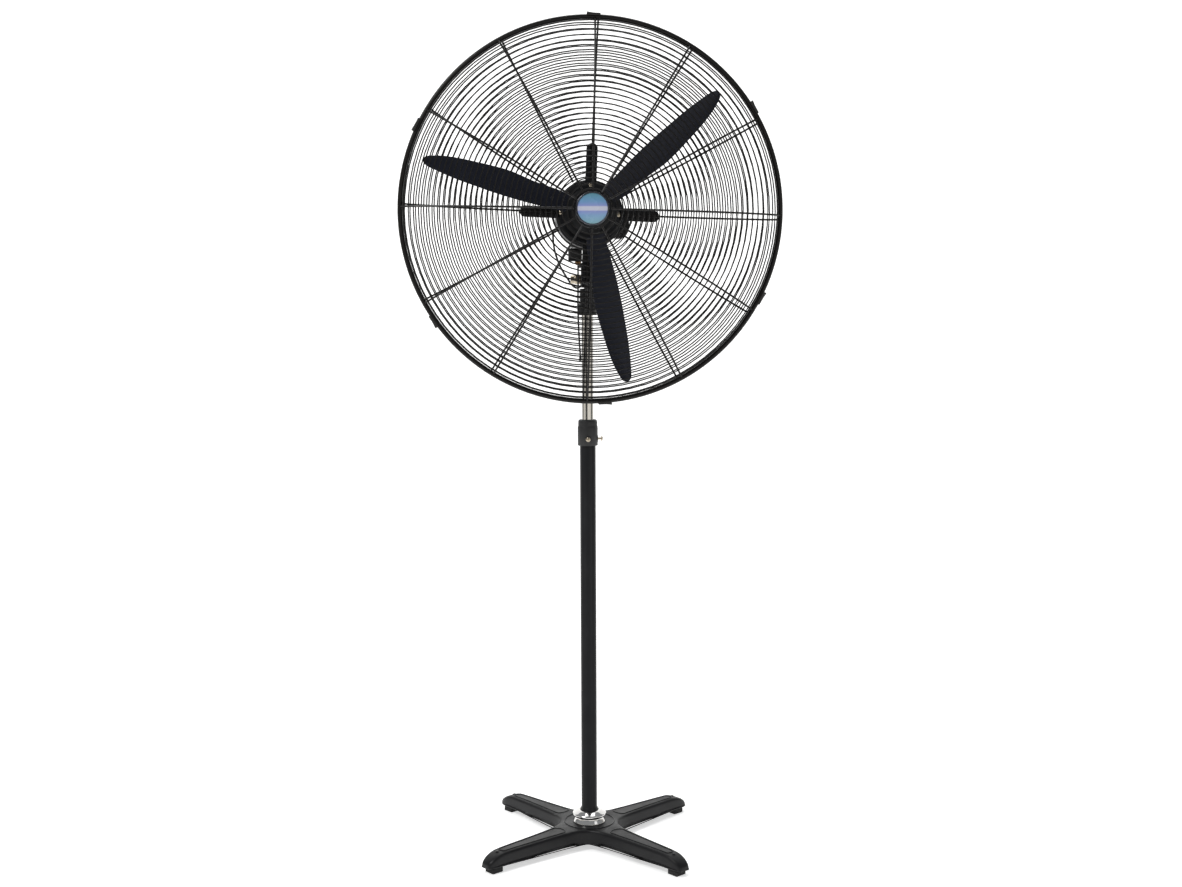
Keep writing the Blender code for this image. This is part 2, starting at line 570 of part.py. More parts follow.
def make_gearbox(head):
    """Oscillating gearbox behind the motor, with its worm wheel, crank, link and knob."""
    low, high = GEARBOX_BOTTOM - HUB_Z, GEARBOX_TOP - HUB_Z
    front = MOTOR_REAR + GAP
    half = GEARBOX_HALF
    middle = (front + GEARBOX_BACK) / 2
    depth = (GEARBOX_BACK - front) / 2
    outline = rounded(half, depth, 0.014, 4)
    rings = []
    for height, shrink in ((low, 0.004), (low + 0.004, 0.0), (high, 0.0)):
        rings.append([(x * (1 - shrink / half), y * (1 - shrink / depth), height)
                      for x, y in outline])
    housing = lofted("gearbox_housing", rings, "paint_black", head, location=(0, middle, 0))
    well = block("gearbox_well_cutter", rounded(half - 0.004, depth - 0.004, 0.010, 4), low + 0.006,
                 high + 0.01, "paint_black", head, location=(0, middle, 0))
    combine(housing, well, "DIFFERENCE")
    shaft_hole = turned("gearbox_shaft_cutter", [(0, -0.06), (0.0070, -0.06), (0.0070, -0.03),
                                                 (0, -0.03)],
                        "paint_black", head, axis="Y", steps=16)
    combine(housing, shaft_hole, "DIFFERENCE")
    wheel_hole = turned("gearbox_wheel_cutter", [(0, low - 0.01), (0.0043, low - 0.01),
                                                 (0.0043, low + 0.02), (0, low + 0.02)],
                        "paint_black", head, steps=16, location=(WORM_X, WORM_Y, 0))
    combine(housing, wheel_hole, "DIFFERENCE")
    rings = []
    for height, shrink in ((high + GAP, 0.0), (high + 0.006, 0.0), (high + 0.013, 0.006),
                           (high + 0.016, 0.014)):
        rings.append([(x * (1 - shrink / half), y * (1 - shrink / depth), height)
                      for x, y in outline])
    cover = lofted("gearbox_cover", rings, "paint_black", head, location=(0, middle, 0))
    knob_hole = turned("gearbox_cover_cutter", [(0, 0), (0.0040, 0), (0.0040, 0.09), (0, 0.09)],
                       "paint_black", head, steps=16, location=(WORM_X, WORM_Y, 0))
    combine(cover, knob_hole, "DIFFERENCE")

    top = high + 0.016
    turned("clutch_knob", [(0, 0.0170), (0.0032, 0.0170), (0.0032, top + 0.0008),
                           (0.0085, top + 0.0008), (0.0095, top + 0.0020), (0.0095, top + 0.0110),
                           (0.0080, top + 0.0130), (0, top + 0.0135)],
           "plastic_black", head, steps=16, location=(WORM_X, WORM_Y, 0))
    # worm wheel and its shaft, teeth round the rim
    shape = bmesh.new()
    rows = []
    for height in (-0.0045, 0.0045):
        row = []
        for i in range(2 * WORM_TEETH):
            radius = 0.0136 if i % 2 == 0 else 0.0122
            angle = math.pi * i / WORM_TEETH
            row.append(shape.verts.new((radius * math.cos(angle), radius * math.sin(angle), height)))
        rows.append(row)
    for i in range(2 * WORM_TEETH):
        j = (i + 1) % (2 * WORM_TEETH)
        shape.faces.new((rows[0][i], rows[0][j], rows[1][j], rows[1][i]))
    shape.faces.new(rows[0])
    shape.faces.new(rows[1])
    wheel = finish("worm_wheel", shape, "brass", head, location=(WORM_X, WORM_Y, 0))
    axle = turned("wheel_axle_guide", [(0, low - 0.0012), (0.0040, low - 0.0012), (0.0040, 0.012),
                                       (0, 0.012)],
                  "brass", head, steps=16, location=(WORM_X, WORM_Y, 0))
    combine(wheel, axle, "UNION")
    crank_top = low - 0.0015
    crank = turned("crank_disc", [(0, crank_top - 0.0040), (0.0145, crank_top - 0.0040),
                                  (0.0145, crank_top), (0, crank_top)],
                   "steel", head, steps=20, location=(WORM_X, WORM_Y, 0))
    stub = turned("crank_pin_guide", [(0, CRANK_PIN_END - HUB_Z), (0.0025, CRANK_PIN_END - HUB_Z),
                                      (0.0025, crank_top - 0.001), (0, crank_top - 0.001)],
                  "steel", head, steps=12, location=(WORM_X + CRANK_THROW, WORM_Y, 0))
    combine(crank, stub, "UNION")
    turned("swing_pin", [(0, 1.3725 - HUB_Z), (0.0080, 1.3725 - HUB_Z), (0.0080, 1.4043 - HUB_Z),
                         (0.0110, 1.4043 - HUB_Z), (0.0110, low - GAP), (0, low - GAP)],
           "steel", head, steps=20)


def make_link(tilt):
    """Link rod from the neck's ear; its far eye hangs clear below the crank pin."""
    across, back = CRANK_THROW, LINK_PIN_Y - WORM_Y
    length = math.hypot(across, back)
    swing_out = math.atan2(across, back)
    place = (WORM_X, LINK_PIN_Y, -TILT_Z)
    outline = []
    for centre, start in ((0.0, 0.0), (-length, math.pi)):
        for step in range(7):
            angle = start + math.pi * step / 6
            outline.append((0.0050 * math.cos(angle), centre + 0.0050 * math.sin(angle)))
    rod = block("link_rod", outline, 1.3843, 1.3870, "steel", tilt, location=place,
                rotation=(0, 0, swing_out))
    pin = turned("link_pin_guide", [(0, 1.3780), (0.0024, 1.3780), (0.0024, 1.3882), (0, 1.3882)],
                 "steel", tilt, steps=12, location=place)
    combine(rod, pin, "UNION")


# ---------------------------------------------------------------- guards
def dome(radius, hub_y, rim_y):
    """Height of a guard's surface: nearly flat in the middle, turned over near the rim."""
    share = min(1.0, radius / (GUARD_RADIUS - RIM_WIRE / 2))
    return rim_y + (hub_y - rim_y) * (1 - share ** 2.6) ** 0.72


def make_guard(name, first, hub_y, rim_y, turn, head):
    """Wire cage half: rings and spokes from a web of edges given thickness."""
    rim = GUARD_RADIUS - RIM_WIRE / 2
    ring_radii = [first + (rim - first) * k for k in (0, 0.24, 0.48, 0.70, 0.87, 1)]
    around = SPOKES * ARC_STEPS
    shape = bmesh.new()
    weight = shape.verts.layers.deform.verify()
    rows = []
    for radius in ring_radii:
        row = []
        for i in range(around):
            angle = turn + 2 * math.pi * i / around
            y = dome(radius, hub_y, rim_y)
            vert = shape.verts.new((radius * math.cos(angle), y, radius * math.sin(angle)))
            vert[weight][0] = 1.0 if radius == ring_radii[-1] else LATTICE_WIRE / RIM_WIRE
            row.append(vert)
        rows.append(row)
    for low, high in zip(rows, rows[1:]):
        for spoke in range(SPOKES):
            arc = [(spoke * ARC_STEPS + k) % around for k in range(ARC_STEPS + 1)]
            shape.faces.new([low[i] for i in arc] + [high[i] for i in reversed(arc)])
    guard = finish(name, shape, "wire_black", head)
    guard.vertex_groups.new(name="wire")
    cage = guard.modifiers.new("wires", "WIREFRAME")
    cage.thickness = RIM_WIRE
    cage.vertex_group = "wire"
    cage.use_even_offset = False
    cage.use_boundary = True
    cage.use_replace = True


def make_guards(head):
    """Both guard halves, the badge, the mounting spider with its screws, and the rim clips."""
    make_guard("front_guard", 0.0320, FRONT_HUB_Y, FRONT_RIM_Y, FRONT_TURN, head)
    make_guard("rear_guard", 0.0720, REAR_HUB_Y, REAR_RIM_Y, REAR_TURN, head)
    badge_back = FRONT_HUB_Y - LATTICE_WIRE / 2 - GAP
    turned("guard_badge", [(0, badge_back), (0.0330, badge_back), (0.0352, badge_back - 0.001),
                           (0.0352, badge_back - 0.0035), (0.0335, badge_back - 0.005),
                           (0.0315, badge_back - 0.0035), (0, badge_back - 0.0042)],
           "badge", head, axis="Y", steps=20)
    back = MOTOR_FRONT - 0.0003
    spider = tube("guard_spider", 0.0700, 0.0300, back - 0.0030, back, "paint_black", head, axis="Y",
                  steps=20)
    straight = SPIDER_REACH - SPIDER_HALF
    for number in range(4):
        turn = REAR_TURN + number * math.pi / 2
        bar = [(0.060, -SPIDER_HALF), (straight, -SPIDER_HALF)]
        bar += [(straight + SPIDER_HALF * math.sin(a), -SPIDER_HALF * math.cos(a))
                for a in (math.pi / 6, math.pi / 3, math.pi / 2, 2 * math.pi / 3, 5 * math.pi / 6)]
        bar += [(straight, SPIDER_HALF), (0.060, SPIDER_HALF)]
        arm = block("spider_bar_guide_%d" % number, bar, back - 0.0030, back, "paint_black", head,
                    axis="Y", rotation=(0, -turn, 0))
        combine(spider, arm, "UNION")
        reach = 0.0630
        face = back - 0.0030 - GAP
        turned("spider_screw_%d" % (number + 1),
               [(0, face), (0.0052, face), (0.0052, face - 0.0012), (0.0036, face - 0.0028),
                (0, face - 0.0033)],
               "zinc_steel", head, axis="Y", steps=12,
               location=(reach * math.cos(turn), 0, reach * math.sin(turn)))

    for number, angle in enumerate(CLIP_ANGLES, start=1):
        # side view: radius from the head's axis, and height along it
        inside, outside = GUARD_RADIUS + 0.0007, GUARD_RADIUS + 0.0037
        lip = GUARD_RADIUS - 0.0040
        hook_front = FRONT_RIM_Y - RIM_WIRE / 2 - 0.0010
        back_end = REAR_RIM_Y + 0.0080
        outline = [(inside, back_end), (inside, hook_front), (lip, hook_front),
                   (lip, hook_front - 0.0025), (outside - 0.001, hook_front - 0.0025),
                   (outside, hook_front), (outside, back_end - 0.002), (outside - 0.001, back_end)]
        half = 0.0145
        rings = [[(r, y, z) for r, y in outline] for z in (-half, half)]
        turn = math.radians(angle)
        pivot = ((inside + outside) / 2 * math.cos(turn), back_end, (inside + outside) / 2 * math.sin(turn))
        hinge = axis_empty("clip_axis_%d" % number, pivot, head)
        shifted = [[(r - (inside + outside) / 2, y - back_end, z) for r, y, z in ring] for ring in rings]
        lofted("guard_clip_%d" % number, shifted, "zinc_steel", hinge, rotation=(0, -turn, 0))


# ---------------------------------------------------------------- blades
def along(table, reach):
    """Value at a reach, read between the outline's own points."""
    for (r0, v0), (r1, v1) in zip(table, table[1:]):
        if reach <= r1:
            share = (reach - r0) / (r1 - r0)
            share = share * share * (3 - 2 * share) * 0.4 + share * 0.6
            return v0 + (v1 - v0) * share
    return table[-1][1]


# half widths of a blade seen from the front, from its centre line (reach, half width)
LEADING = ((0.050, 0.0190), (0.073, 0.0245), (0.135, 0.0270), (0.188, 0.0330), (0.225, 0.0325),
           (0.258, 0.0300), (0.301, 0.0262), (0.333, 0.0212), (0.354, 0.0155), (0.366, 0.0112),
           (0.372, 0.0076), (0.375, 0.0034))
TRAILING = ((0.050, 0.0175), (0.073, 0.0190), (0.135, 0.0225), (0.150, 0.0236), (0.224, 0.0236),
            (0.241, 0.0220), (0.295, 0.0200), (0.344, 0.0148), (0.362, 0.0118), (0.371, 0.0080),
            (0.375, 0.0034))
BLADE_STATIONS = (0.052, 0.062, 0.075, 0.100, 0.130, 0.160, 0.190, 0.225, 0.258, 0.290, 0.315,
                  0.335, 0.350, 0.361, 0.369, 0.3735, 0.375)


def blade_point(reach, share, lift):
    """A point on a blade lying along +X; share runs 0 to 1 from leading to trailing edge."""
    lead, trail = along(LEADING, reach), along(TRAILING, reach)
    across = -lead + share * (lead + trail)
    camber = 0.0045 * (1 - (2 * share - 1) ** 2)
    pitch = BLADE_PITCH - math.radians(5) * (reach - BLADE_ROOT) / (BLADE_TIP - BLADE_ROOT)
    return (reach, BLADE_Y - across * math.tan(pitch) + camber + lift, across)


def make_rotor(head):
    """Hub with three irons, three paddle blades and the nut."""
    hub = turned("blade_hub", [(SHAFT_RADIUS + GAP, -0.2220), (0.0140, -0.2220), (0.0140, -0.2290),
                               (0.0330, -0.2310), (0.0345, -0.2325), (0.0345, -0.2385),
                               (0.0330, -0.2400), (0.0150, -0.2400), (0.0140, -0.2440),
                               (SHAFT_RADIUS + GAP, -0.2440)],
                 "paint_black", head, axis="Y", ring=True, steps=20)
    for number, angle in enumerate(BLADE_ANGLES, start=1):
        turn = math.radians(angle)
        shape = []
        for reach in (0.026, 0.040, 0.052, 0.075, 0.100):
            half = 0.22 if reach > 0.09 else 0.28
            section = [blade_point(max(reach, 0.052), 0.5 + s * half, BLADE_SHEET + GAP)
                       for s in (-1, -0.5, 0, 0.5, 1)]
            section += [(x, y + 0.0030, z) for x, y, z in reversed(section)]
            shape.append([(reach, y, z) for x, y, z in section])
        iron = lofted("iron_guide_%d" % number, shape, "paint_black", head, rotation=(0, -turn, 0))
        combine(hub, iron, "UNION")

        sections = []
        shares = (0, 0.04, 0.2, 0.4, 0.6, 0.8, 0.96, 1)
        for reach in BLADE_STATIONS:
            front = [blade_point(reach, s, 0) for s in shares]
            back = [blade_point(reach, s, BLADE_SHEET) for s in reversed(shares)]
            sections.append(front + back)
        lofted("fan_blade_%d" % number, sections, "blade_black", head, rotation=(0, -turn, 0))
    turned("hub_nut", [(SHAFT_RADIUS + GAP, -0.2443), (0.0100, -0.2443), (0.0100, -0.2520),
                       (0.0085, -0.2530), (SHAFT_RADIUS + GAP, -0.2530)],
           "zinc_steel", head, axis="Y", ring=True, steps=12)


# ---------------------------------------------------------------- assembly
stand_axis = axis_empty("stand_axis", (0, COLUMN_Y, 0))
mast_axis = axis_empty("mast_axis", (0, 0, 0), stand_axis)
tilt_axis = axis_empty("tilt_axis", (0, 0, TILT_Z), mast_axis)
head_axis = axis_empty("head_axis", (0, 0, HUB_Z - TILT_Z), tilt_axis)
make_base(stand_axis)
make_column(stand_axis, mast_axis)
make_neck(mast_axis, tilt_axis)
make_motor(head_axis)
make_gearbox(head_axis)
make_link(tilt_axis)
make_guards(head_axis)
make_rotor(head_axis)
cord_tube("motor_lead", LEAD_ROUTE, LEAD_RADIUS, "rubber_black", stand_axis, (0, 0, 0))
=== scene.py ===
import math

import bmesh
import bpy
from bpy.props import FloatProperty, FloatVectorProperty, IntProperty, PointerProperty
from bpy.types import Operator, Panel, PropertyGroup
from mathutils import Matrix, Vector


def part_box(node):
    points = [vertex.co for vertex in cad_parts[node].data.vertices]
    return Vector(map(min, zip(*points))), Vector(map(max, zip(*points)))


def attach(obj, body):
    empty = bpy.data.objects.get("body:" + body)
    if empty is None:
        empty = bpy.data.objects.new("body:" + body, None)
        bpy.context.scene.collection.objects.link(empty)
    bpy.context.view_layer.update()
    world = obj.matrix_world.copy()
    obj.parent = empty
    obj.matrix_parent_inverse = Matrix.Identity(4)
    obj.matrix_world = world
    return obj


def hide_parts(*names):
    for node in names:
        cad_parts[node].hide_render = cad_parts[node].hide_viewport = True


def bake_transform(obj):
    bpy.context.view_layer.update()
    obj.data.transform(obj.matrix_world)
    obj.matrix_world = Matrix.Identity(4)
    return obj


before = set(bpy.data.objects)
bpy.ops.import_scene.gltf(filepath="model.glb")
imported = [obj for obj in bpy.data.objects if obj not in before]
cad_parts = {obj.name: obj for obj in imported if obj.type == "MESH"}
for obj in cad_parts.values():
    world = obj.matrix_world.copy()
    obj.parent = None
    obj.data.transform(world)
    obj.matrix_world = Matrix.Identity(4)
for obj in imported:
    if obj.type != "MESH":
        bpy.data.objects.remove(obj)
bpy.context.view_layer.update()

bl_info = {
    "name": "Pedestal fan",
    "version": (1, 0, 0),
    "blender": (4, 5, 0),
    "location": "3D View > Sidebar > Fan",
    "description": "Builds the visible surfaces of a 750 mm pedestal fan around its frame",
    "category": "Object",
}

MM = 0.001

# places read from the frame
COLUMN = sum(v[1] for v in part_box("outer_column")) / 2
HUB_Z = sum(v[2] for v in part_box("motor_shaft")) / 2
RIM_OUTSIDE = (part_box("front_guard")[1][2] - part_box("front_guard")[0][2]) / 2 + 0.8 * MM

# places along the blade axis, measured from the column
FRONT_HUB_Y, FRONT_RIM_Y, REAR_RIM_Y, REAR_HUB_Y = -0.3220, -0.2500, -0.2380, -0.1730
LEG_TURN = math.radians(45 - 4.9)
FRONT_TURN = math.radians(-1.4)
REAR_TURN = math.radians(-2.5)      # the spider's bars are turned by the same amount


# ---------------------------------------------------------------- settings a user would change
class FanSettings(PropertyGroup):
    ring_wire: FloatProperty(name="Ring wire", description="Diameter of the guards' ring wire",
                             default=2.8 * MM, unit="LENGTH")
    spoke_wire: FloatProperty(name="Spoke wire", description="Diameter of the guards' spokes",
                              default=4.2 * MM, unit="LENGTH")
    rim_wire: FloatProperty(name="Rim wire", description="Diameter of each guard's rim",
                            default=10.5 * MM, unit="LENGTH")
    front_rings: IntProperty(name="Front rings", description="Rings of the front guard, rim left out",
                             default=33, min=4)
    rear_rings: IntProperty(name="Rear rings", description="Rings of the rear guard, rim left out",
                            default=29, min=4)
    spokes: IntProperty(name="Spokes", description="Spokes of each guard", default=12, min=3)
    paint: FloatVectorProperty(name="Paint", description="Colour of the powder coat", size=3,
                               subtype="COLOR", default=(0.0097, 0.0102, 0.0116))
    badge: FloatVectorProperty(name="Badge", description="Ground colour of the plain badge", size=3,
                               subtype="COLOR", default=(0.20, 0.25, 0.52))


def settings():
    return bpy.context.scene.fan


# ---------------------------------------------------------------- materials
def srgb(code):
    """Linear colour from an sRGB hex value."""
    parts = [int(code[i:i + 2], 16) / 255 for i in (1, 3, 5)]
    linear = [c / 12.92 if c <= 0.04045 else ((c + 0.055) / 1.055) ** 2.4 for c in parts]
    return (*linear, 1.0)


def add(tree, kind, links=None, **values):
    """Add a node; links maps input names to sockets or values, values are its own settings."""
    made = tree.nodes.new(kind)
    for key, value in values.items():
        setattr(made, key, value)
    for key, value in (links or {}).items():
        socket = made.inputs[key]
        if isinstance(value, bpy.types.NodeSocket):
            tree.links.new(value, socket)
        else:
            socket.default_value = value
    return made


def per(size):
    """Noise scale for features of a real size in metres."""
    return 1.0 / size


def surface(name, colour, roughness, metallic=0.0, grain=1.0 * MM, bump=0.1, depth=0.05 * MM,
            spread=0.05, shade=0.15, coat=0.0, ior=1.5):
    """A finish with fine grain in its height, drifting roughness and slightly uneven colour."""
    if name in bpy.data.materials:
        return bpy.data.materials[name]
    made = bpy.data.materials.new(name)
    made.use_nodes = True
    tree = made.node_tree
    shader = tree.nodes["Principled BSDF"]
    place = add(tree, "ShaderNodeTexCoord").outputs["Object"]
    fine = add(tree, "ShaderNodeTexNoise", {"Vector": place, "Scale": per(grain), "Detail": 3.0})
    broad = add(tree, "ShaderNodeTexNoise", {"Vector": place, "Scale": per(60 * MM), "Detail": 4.0})
    rough = add(tree, "ShaderNodeMapRange", {"Value": broad.outputs["Fac"], "From Min": 0.3,
                                             "From Max": 0.7, "To Min": max(0.02, roughness - spread),
                                             "To Max": roughness + spread})
    tint = add(tree, "ShaderNodeMix", {"Factor": broad.outputs["Fac"]}, data_type="RGBA")
    for socket in tint.inputs:
        if socket.identifier in ("A_Color", "B_Color"):
            side = -shade if socket.identifier == "A_Color" else shade
            socket.default_value = (*(min(1.0, c * (1 + side)) for c in colour[:3]), 1.0)
    raised = add(tree, "ShaderNodeBump", {"Height": fine.outputs["Fac"], "Strength": bump,
                                          "Distance": depth})
    colour_out = [o for o in tint.outputs if o.type == "RGBA"][0]
    tree.links.new(colour_out, shader.inputs["Base Color"])
    tree.links.new(rough.outputs["Result"], shader.inputs["Roughness"])
    tree.links.new(raised.outputs["Normal"], shader.inputs["Normal"])
    shader.inputs["Metallic"].default_value = metallic
    shader.inputs["Coat Weight"].default_value = coat
    if not metallic:
        shader.inputs["IOR"].default_value = ior
    return made


def powder_coat():
    """Powder coat on steel: black, soft gloss, with the fine peel of sprayed and baked powder."""
    return surface("powder_coat_sprayed", (*settings().paint, 1.0), 0.38, grain=1.6 * MM, bump=0.35,
                   depth=0.06 * MM, ior=1.36)


def wire_coat():
    """Dip-coated wire: smooth black with small bright glints along each wire."""
    return surface("dip_coated_wire", srgb("#100e0d"), 0.36, grain=3 * MM, bump=0.1, shade=0.2,
                   ior=1.34)


def iron_paint():
    """Painted grey iron, sand cast: the casting's pebbled skin shows through satin black."""
    return surface("painted_iron_sand_cast", srgb("#0f0f11"), 0.42, grain=2.2 * MM, bump=0.55, ior=1.34,
                   depth=0.12 * MM, spread=0.08, shade=0.25)


def blade_paint():
    """Stoved enamel on rolled aluminium sheet: blue-black with a broad soft highlight."""
    return surface("stoved_enamel_rolled_sheet", srgb("#121520"), 0.42, grain=1.2 * MM, bump=0.15,
                   spread=0.06, shade=0.2, ior=1.34)


def abs_black():
    """ABS, injection moulded: black with the mould's spark-eroded matt grain."""
    return surface("abs_moulded", srgb("#101011"), 0.52, grain=0.8 * MM, bump=0.4, depth=0.05 * MM,
                   ior=1.53)


def rubber():
    """Rubber, compression moulded: dull black that scatters light."""
    return surface("rubber_moulded", srgb("#131313"), 0.82, grain=1.0 * MM, bump=0.4,
                   depth=0.05 * MM, ior=1.52)


def chrome():
    """Chrome plate, polished: a mirror with faint wiping marks."""
    return surface("chrome_polished", srgb("#d9d8d6"), 0.10, metallic=1.0, grain=8 * MM, bump=0.02,
                   spread=0.03, shade=0.03)


def zinc():
    """Zinc plate, bright dipped: pale warm grey with a slightly cloudy shine."""
    return surface("zinc_bright_dipped", srgb("#b5aa98"), 0.24, metallic=1.0, grain=2 * MM, bump=0.1,
                   shade=0.08)


def clip_steel():
    """Spring steel clip, blackened: darker than the rim's coat, with worn dull corners."""
    return surface("spring_steel_blackened", srgb("#1b1a19"), 0.42, grain=2 * MM, bump=0.2)


def bare_steel():
    """Steel, turned: mid grey with a fine tool finish."""
    return surface("steel_turned", srgb("#a9a9a8"), 0.33, metallic=1.0, grain=0.8 * MM, bump=0.2)


def brass():
    """Brass, turned: yellow metal, a little dulled by handling."""
    return surface("brass_turned", srgb("#8e6f4c"), 0.34, metallic=1.0, grain=1 * MM, bump=0.15,
                   shade=0.12)


def copper():
    """Enamelled copper, wound: red-brown varnish over the turns of wire."""
    return surface("copper_enamelled_wound", srgb("#8a4320"), 0.40, metallic=1.0, grain=0.9 * MM,
                   bump=0.6, depth=0.3 * MM)


def badge_foil():
    """Printed foil under clear lacquer: a blue ground, paler below, with one plain pale band."""
    name = "foil_printed_lacquered"
    if name in bpy.data.materials:
        return bpy.data.materials[name]
    made = surface(name, (*settings().badge, 1.0), 0.28, grain=1 * MM, bump=0.02, coat=0.6)
    tree = made.node_tree
    shader = tree.nodes["Principled BSDF"]
    place = add(tree, "ShaderNodeTexCoord").outputs["Object"]
    height = add(tree, "ShaderNodeSeparateXYZ", {"Vector": place}).outputs["Z"]
    half = 33 * MM
    share = add(tree, "ShaderNodeMapRange", {"Value": height, "From Min": HUB_Z - half,
                                             "From Max": HUB_Z + half})
    ramp = add(tree, "ShaderNodeValToRGB", {"Fac": share.outputs["Result"]})
    ground = (*settings().badge, 1.0)
    bands = ((0.0, srgb("#7aa6ae")), (0.28, srgb("#7398bd")), (0.41, ground), (0.45, srgb("#b7bacb")),
             (0.55, srgb("#b7bacb")), (0.59, ground), (0.72, srgb("#628db5")), (1.0, srgb("#548894")))
    ramp.color_ramp.elements[0].color = bands[0][1]
    ramp.color_ramp.elements[1].color = bands[-1][1]
    for position, colour in bands[1:-1]:
        ramp.color_ramp.elements.new(position).color = colour
    tree.links.new(ramp.outputs["Color"], shader.inputs["Base Color"])
    return made


def badge_ring():
    """Anodised aluminium, spun: a dark bright-edged ring round the foil."""
    return surface("aluminium_spun_anodised", srgb("#4d4f55"), 0.25, metallic=1.0, grain=1 * MM)


# ---------------------------------------------------------------- mesh helpers
def publish(name, shape, finish, body, slot, *nodes, smooth=40):
    """Turn a bmesh into a piece that rides on a body and stands for CAD nodes."""
    bmesh.ops.recalc_face_normals(shape, faces=shape.faces)
    mesh = bpy.data.meshes.new(name)
    shape.to_mesh(mesh)
    shape.free()
    mesh.shade_smooth()
    mesh.set_sharp_from_angle(angle=math.radians(smooth))
    mesh.materials.append(finish)
    piece = bpy.data.objects.new(name, mesh)
    bpy.context.collection.objects.link(piece)
    if body:
        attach(piece, body)
    if nodes:
        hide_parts(*nodes)
    return piece


def turn(shape, profile, centre, axis="Z", steps=64, closed=True, facing=None):
    """Turn (radius, height) points about an axis through centre; a closed profile makes a ring.
    Facing is a matrix that turns or mirrors the whole about its centre."""
    centre = Vector(centre)
    rows = []
    for radius, height in profile:
        row = []
        count = steps if radius > 1e-7 else 1
        for i in range(count):
            angle = 2 * math.pi * i / steps
            a, b = radius * math.cos(angle), radius * math.sin(angle)
            spot = Vector({"Z": (a, b, height), "Y": (a, height, b), "X": (height, a, b)}[axis])
            if facing is not None:
                spot = facing @ spot
            row.append(shape.verts.new(centre + spot))
        rows.append(row)
    pairs = list(zip(rows, rows[1:]))
    if closed:
        pairs.append((rows[-1], rows[0]))
    for low, high in pairs:
        for i in range(steps):
            j = (i + 1) % steps
            loop = [low[i % len(low)], low[j % len(low)], high[j % len(high)], high[i % len(high)]]
            face = [v for n, v in enumerate(loop) if v not in loop[:n]]
            if len(face) > 2:
                shape.faces.new(face)


def sweep(shape, path, radius, sides=8, closed=False):
    """A round rod along a path."""
    points = [Vector(p) for p in path]
    count = len(points)
    rows = []
    normal = None
    for i, point in enumerate(points):
        after = points[(i + 1) % count] if closed or i + 1 < count else point
        before = points[i - 1] if closed or i > 0 else point
        along = (after - before).normalized()
        if normal is None:
            normal = along.orthogonal().normalized()
        normal = (normal - along * normal.dot(along)).normalized()
        side = along.cross(normal)
        row = []
        for k in range(sides):
            angle = 2 * math.pi * k / sides
            out = math.cos(angle) * normal + math.sin(angle) * side
            row.append(shape.verts.new(point + radius * out))
        rows.append(row)
    pairs = list(zip(rows, rows[1:]))
    if closed:
        pairs.append((rows[-1], rows[0]))
    for low, high in pairs:
        shift = 0
        if closed and low is rows[-1]:
            shift = min(range(sides), key=lambda s: (low[0].co - high[s].co).length)
        for k in range(sides):
            m = (k + 1) % sides
            shape.faces.new((low[k], low[m], high[(m + shift) % sides], high[(k + shift) % sides]))
    if not closed:
        shape.faces.new(rows[0])
        shape.faces.new(rows[-1])


def loft(shape, sections):
    """Join matching closed rings of points and close both ends."""
    rows = [[shape.verts.new(p) for p in section] for section in sections]
    count = len(rows[0])
    for low, high in zip(rows, rows[1:]):
        for i in range(count):
            j = (i + 1) % count
            shape.faces.new((low[i], low[j], high[j], high[i]))
    shape.faces.new(rows[0])
    shape.faces.new(rows[-1])


def soften(piece, width):
    """Round a piece's edges with a bevel."""
    step = piece.modifiers.new("edge_round", "BEVEL")
    step.width = width
    step.segments = 2
    step.limit_method = "ANGLE"
    step.angle_limit = math.radians(30)


def carried(node, finish, body, slot, width=0.5 * MM):
    """A CAD node's own shape with its edges rounded."""
    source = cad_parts[node]
    shape = bmesh.new()
    shape.from_mesh(source.data)
    bmesh.ops.remove_doubles(shape, verts=shape.verts, dist=0.02 * MM)
    bmesh.ops.dissolve_limit(shape, angle_limit=math.radians(1), verts=shape.verts,
                             edges=shape.edges)
    piece = publish(node + "_shell", shape, finish, body, slot, node)
    soften(piece, width)
    return piece


def repaint(finish, *nodes):
    """Give CAD nodes that stay visible their finish."""
    for node in nodes:
        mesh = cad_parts[node].data
        mesh.materials.clear()
        mesh.materials.append(finish)


def smooth_route(points, spacing):
    """Points a spacing apart on a smooth curve through the route's own points."""
    knots = [Vector(p) for p in points]
    ends = [knots[0] * 2 - knots[1]] + knots + [knots[-1] * 2 - knots[-2]]
    path = []
    for a, b, c, d in zip(ends, ends[1:], ends[2:], ends[3:]):
        steps = max(1, round((c - b).length / spacing))
        for step in range(steps):
            t = step / steps
            path.append(0.5 * (2 * b + (c - a) * t + (2 * a - 5 * b + 4 * c - d) * t * t
                               + (3 * b - a - 3 * c + d) * t ** 3))
    return path + [knots[-1]]


def around_hub(points, angle):
    """Points drawn along +X from the blade axis, turned to their place round it."""
    c, s = math.cos(angle), math.sin(angle)
    return [(x * c - z * s, COLUMN + y, HUB_Z + x * s + z * c) for x, y, z in points]


# ---------------------------------------------------------------- guards
FLATNESS, TURN_OVER = 2.6, 0.72      # of a guard's middle and of its edge
RIM_MARGIN = 8 * MM                  # from the last ring to the middle of the rim
SPOKE_START = 3 * MM                 # inside the first ring
SPOKE_STEPS = 32


def dome(radius, hub_y, rim_y):
    """Height of a guard's surface: nearly flat in the middle, turned over near the rim."""
    share = min(1.0, radius / (RIM_OUTSIDE - settings().rim_wire / 2))
    return rim_y + (hub_y - rim_y) * (1 - share ** FLATNESS) ** TURN_OVER


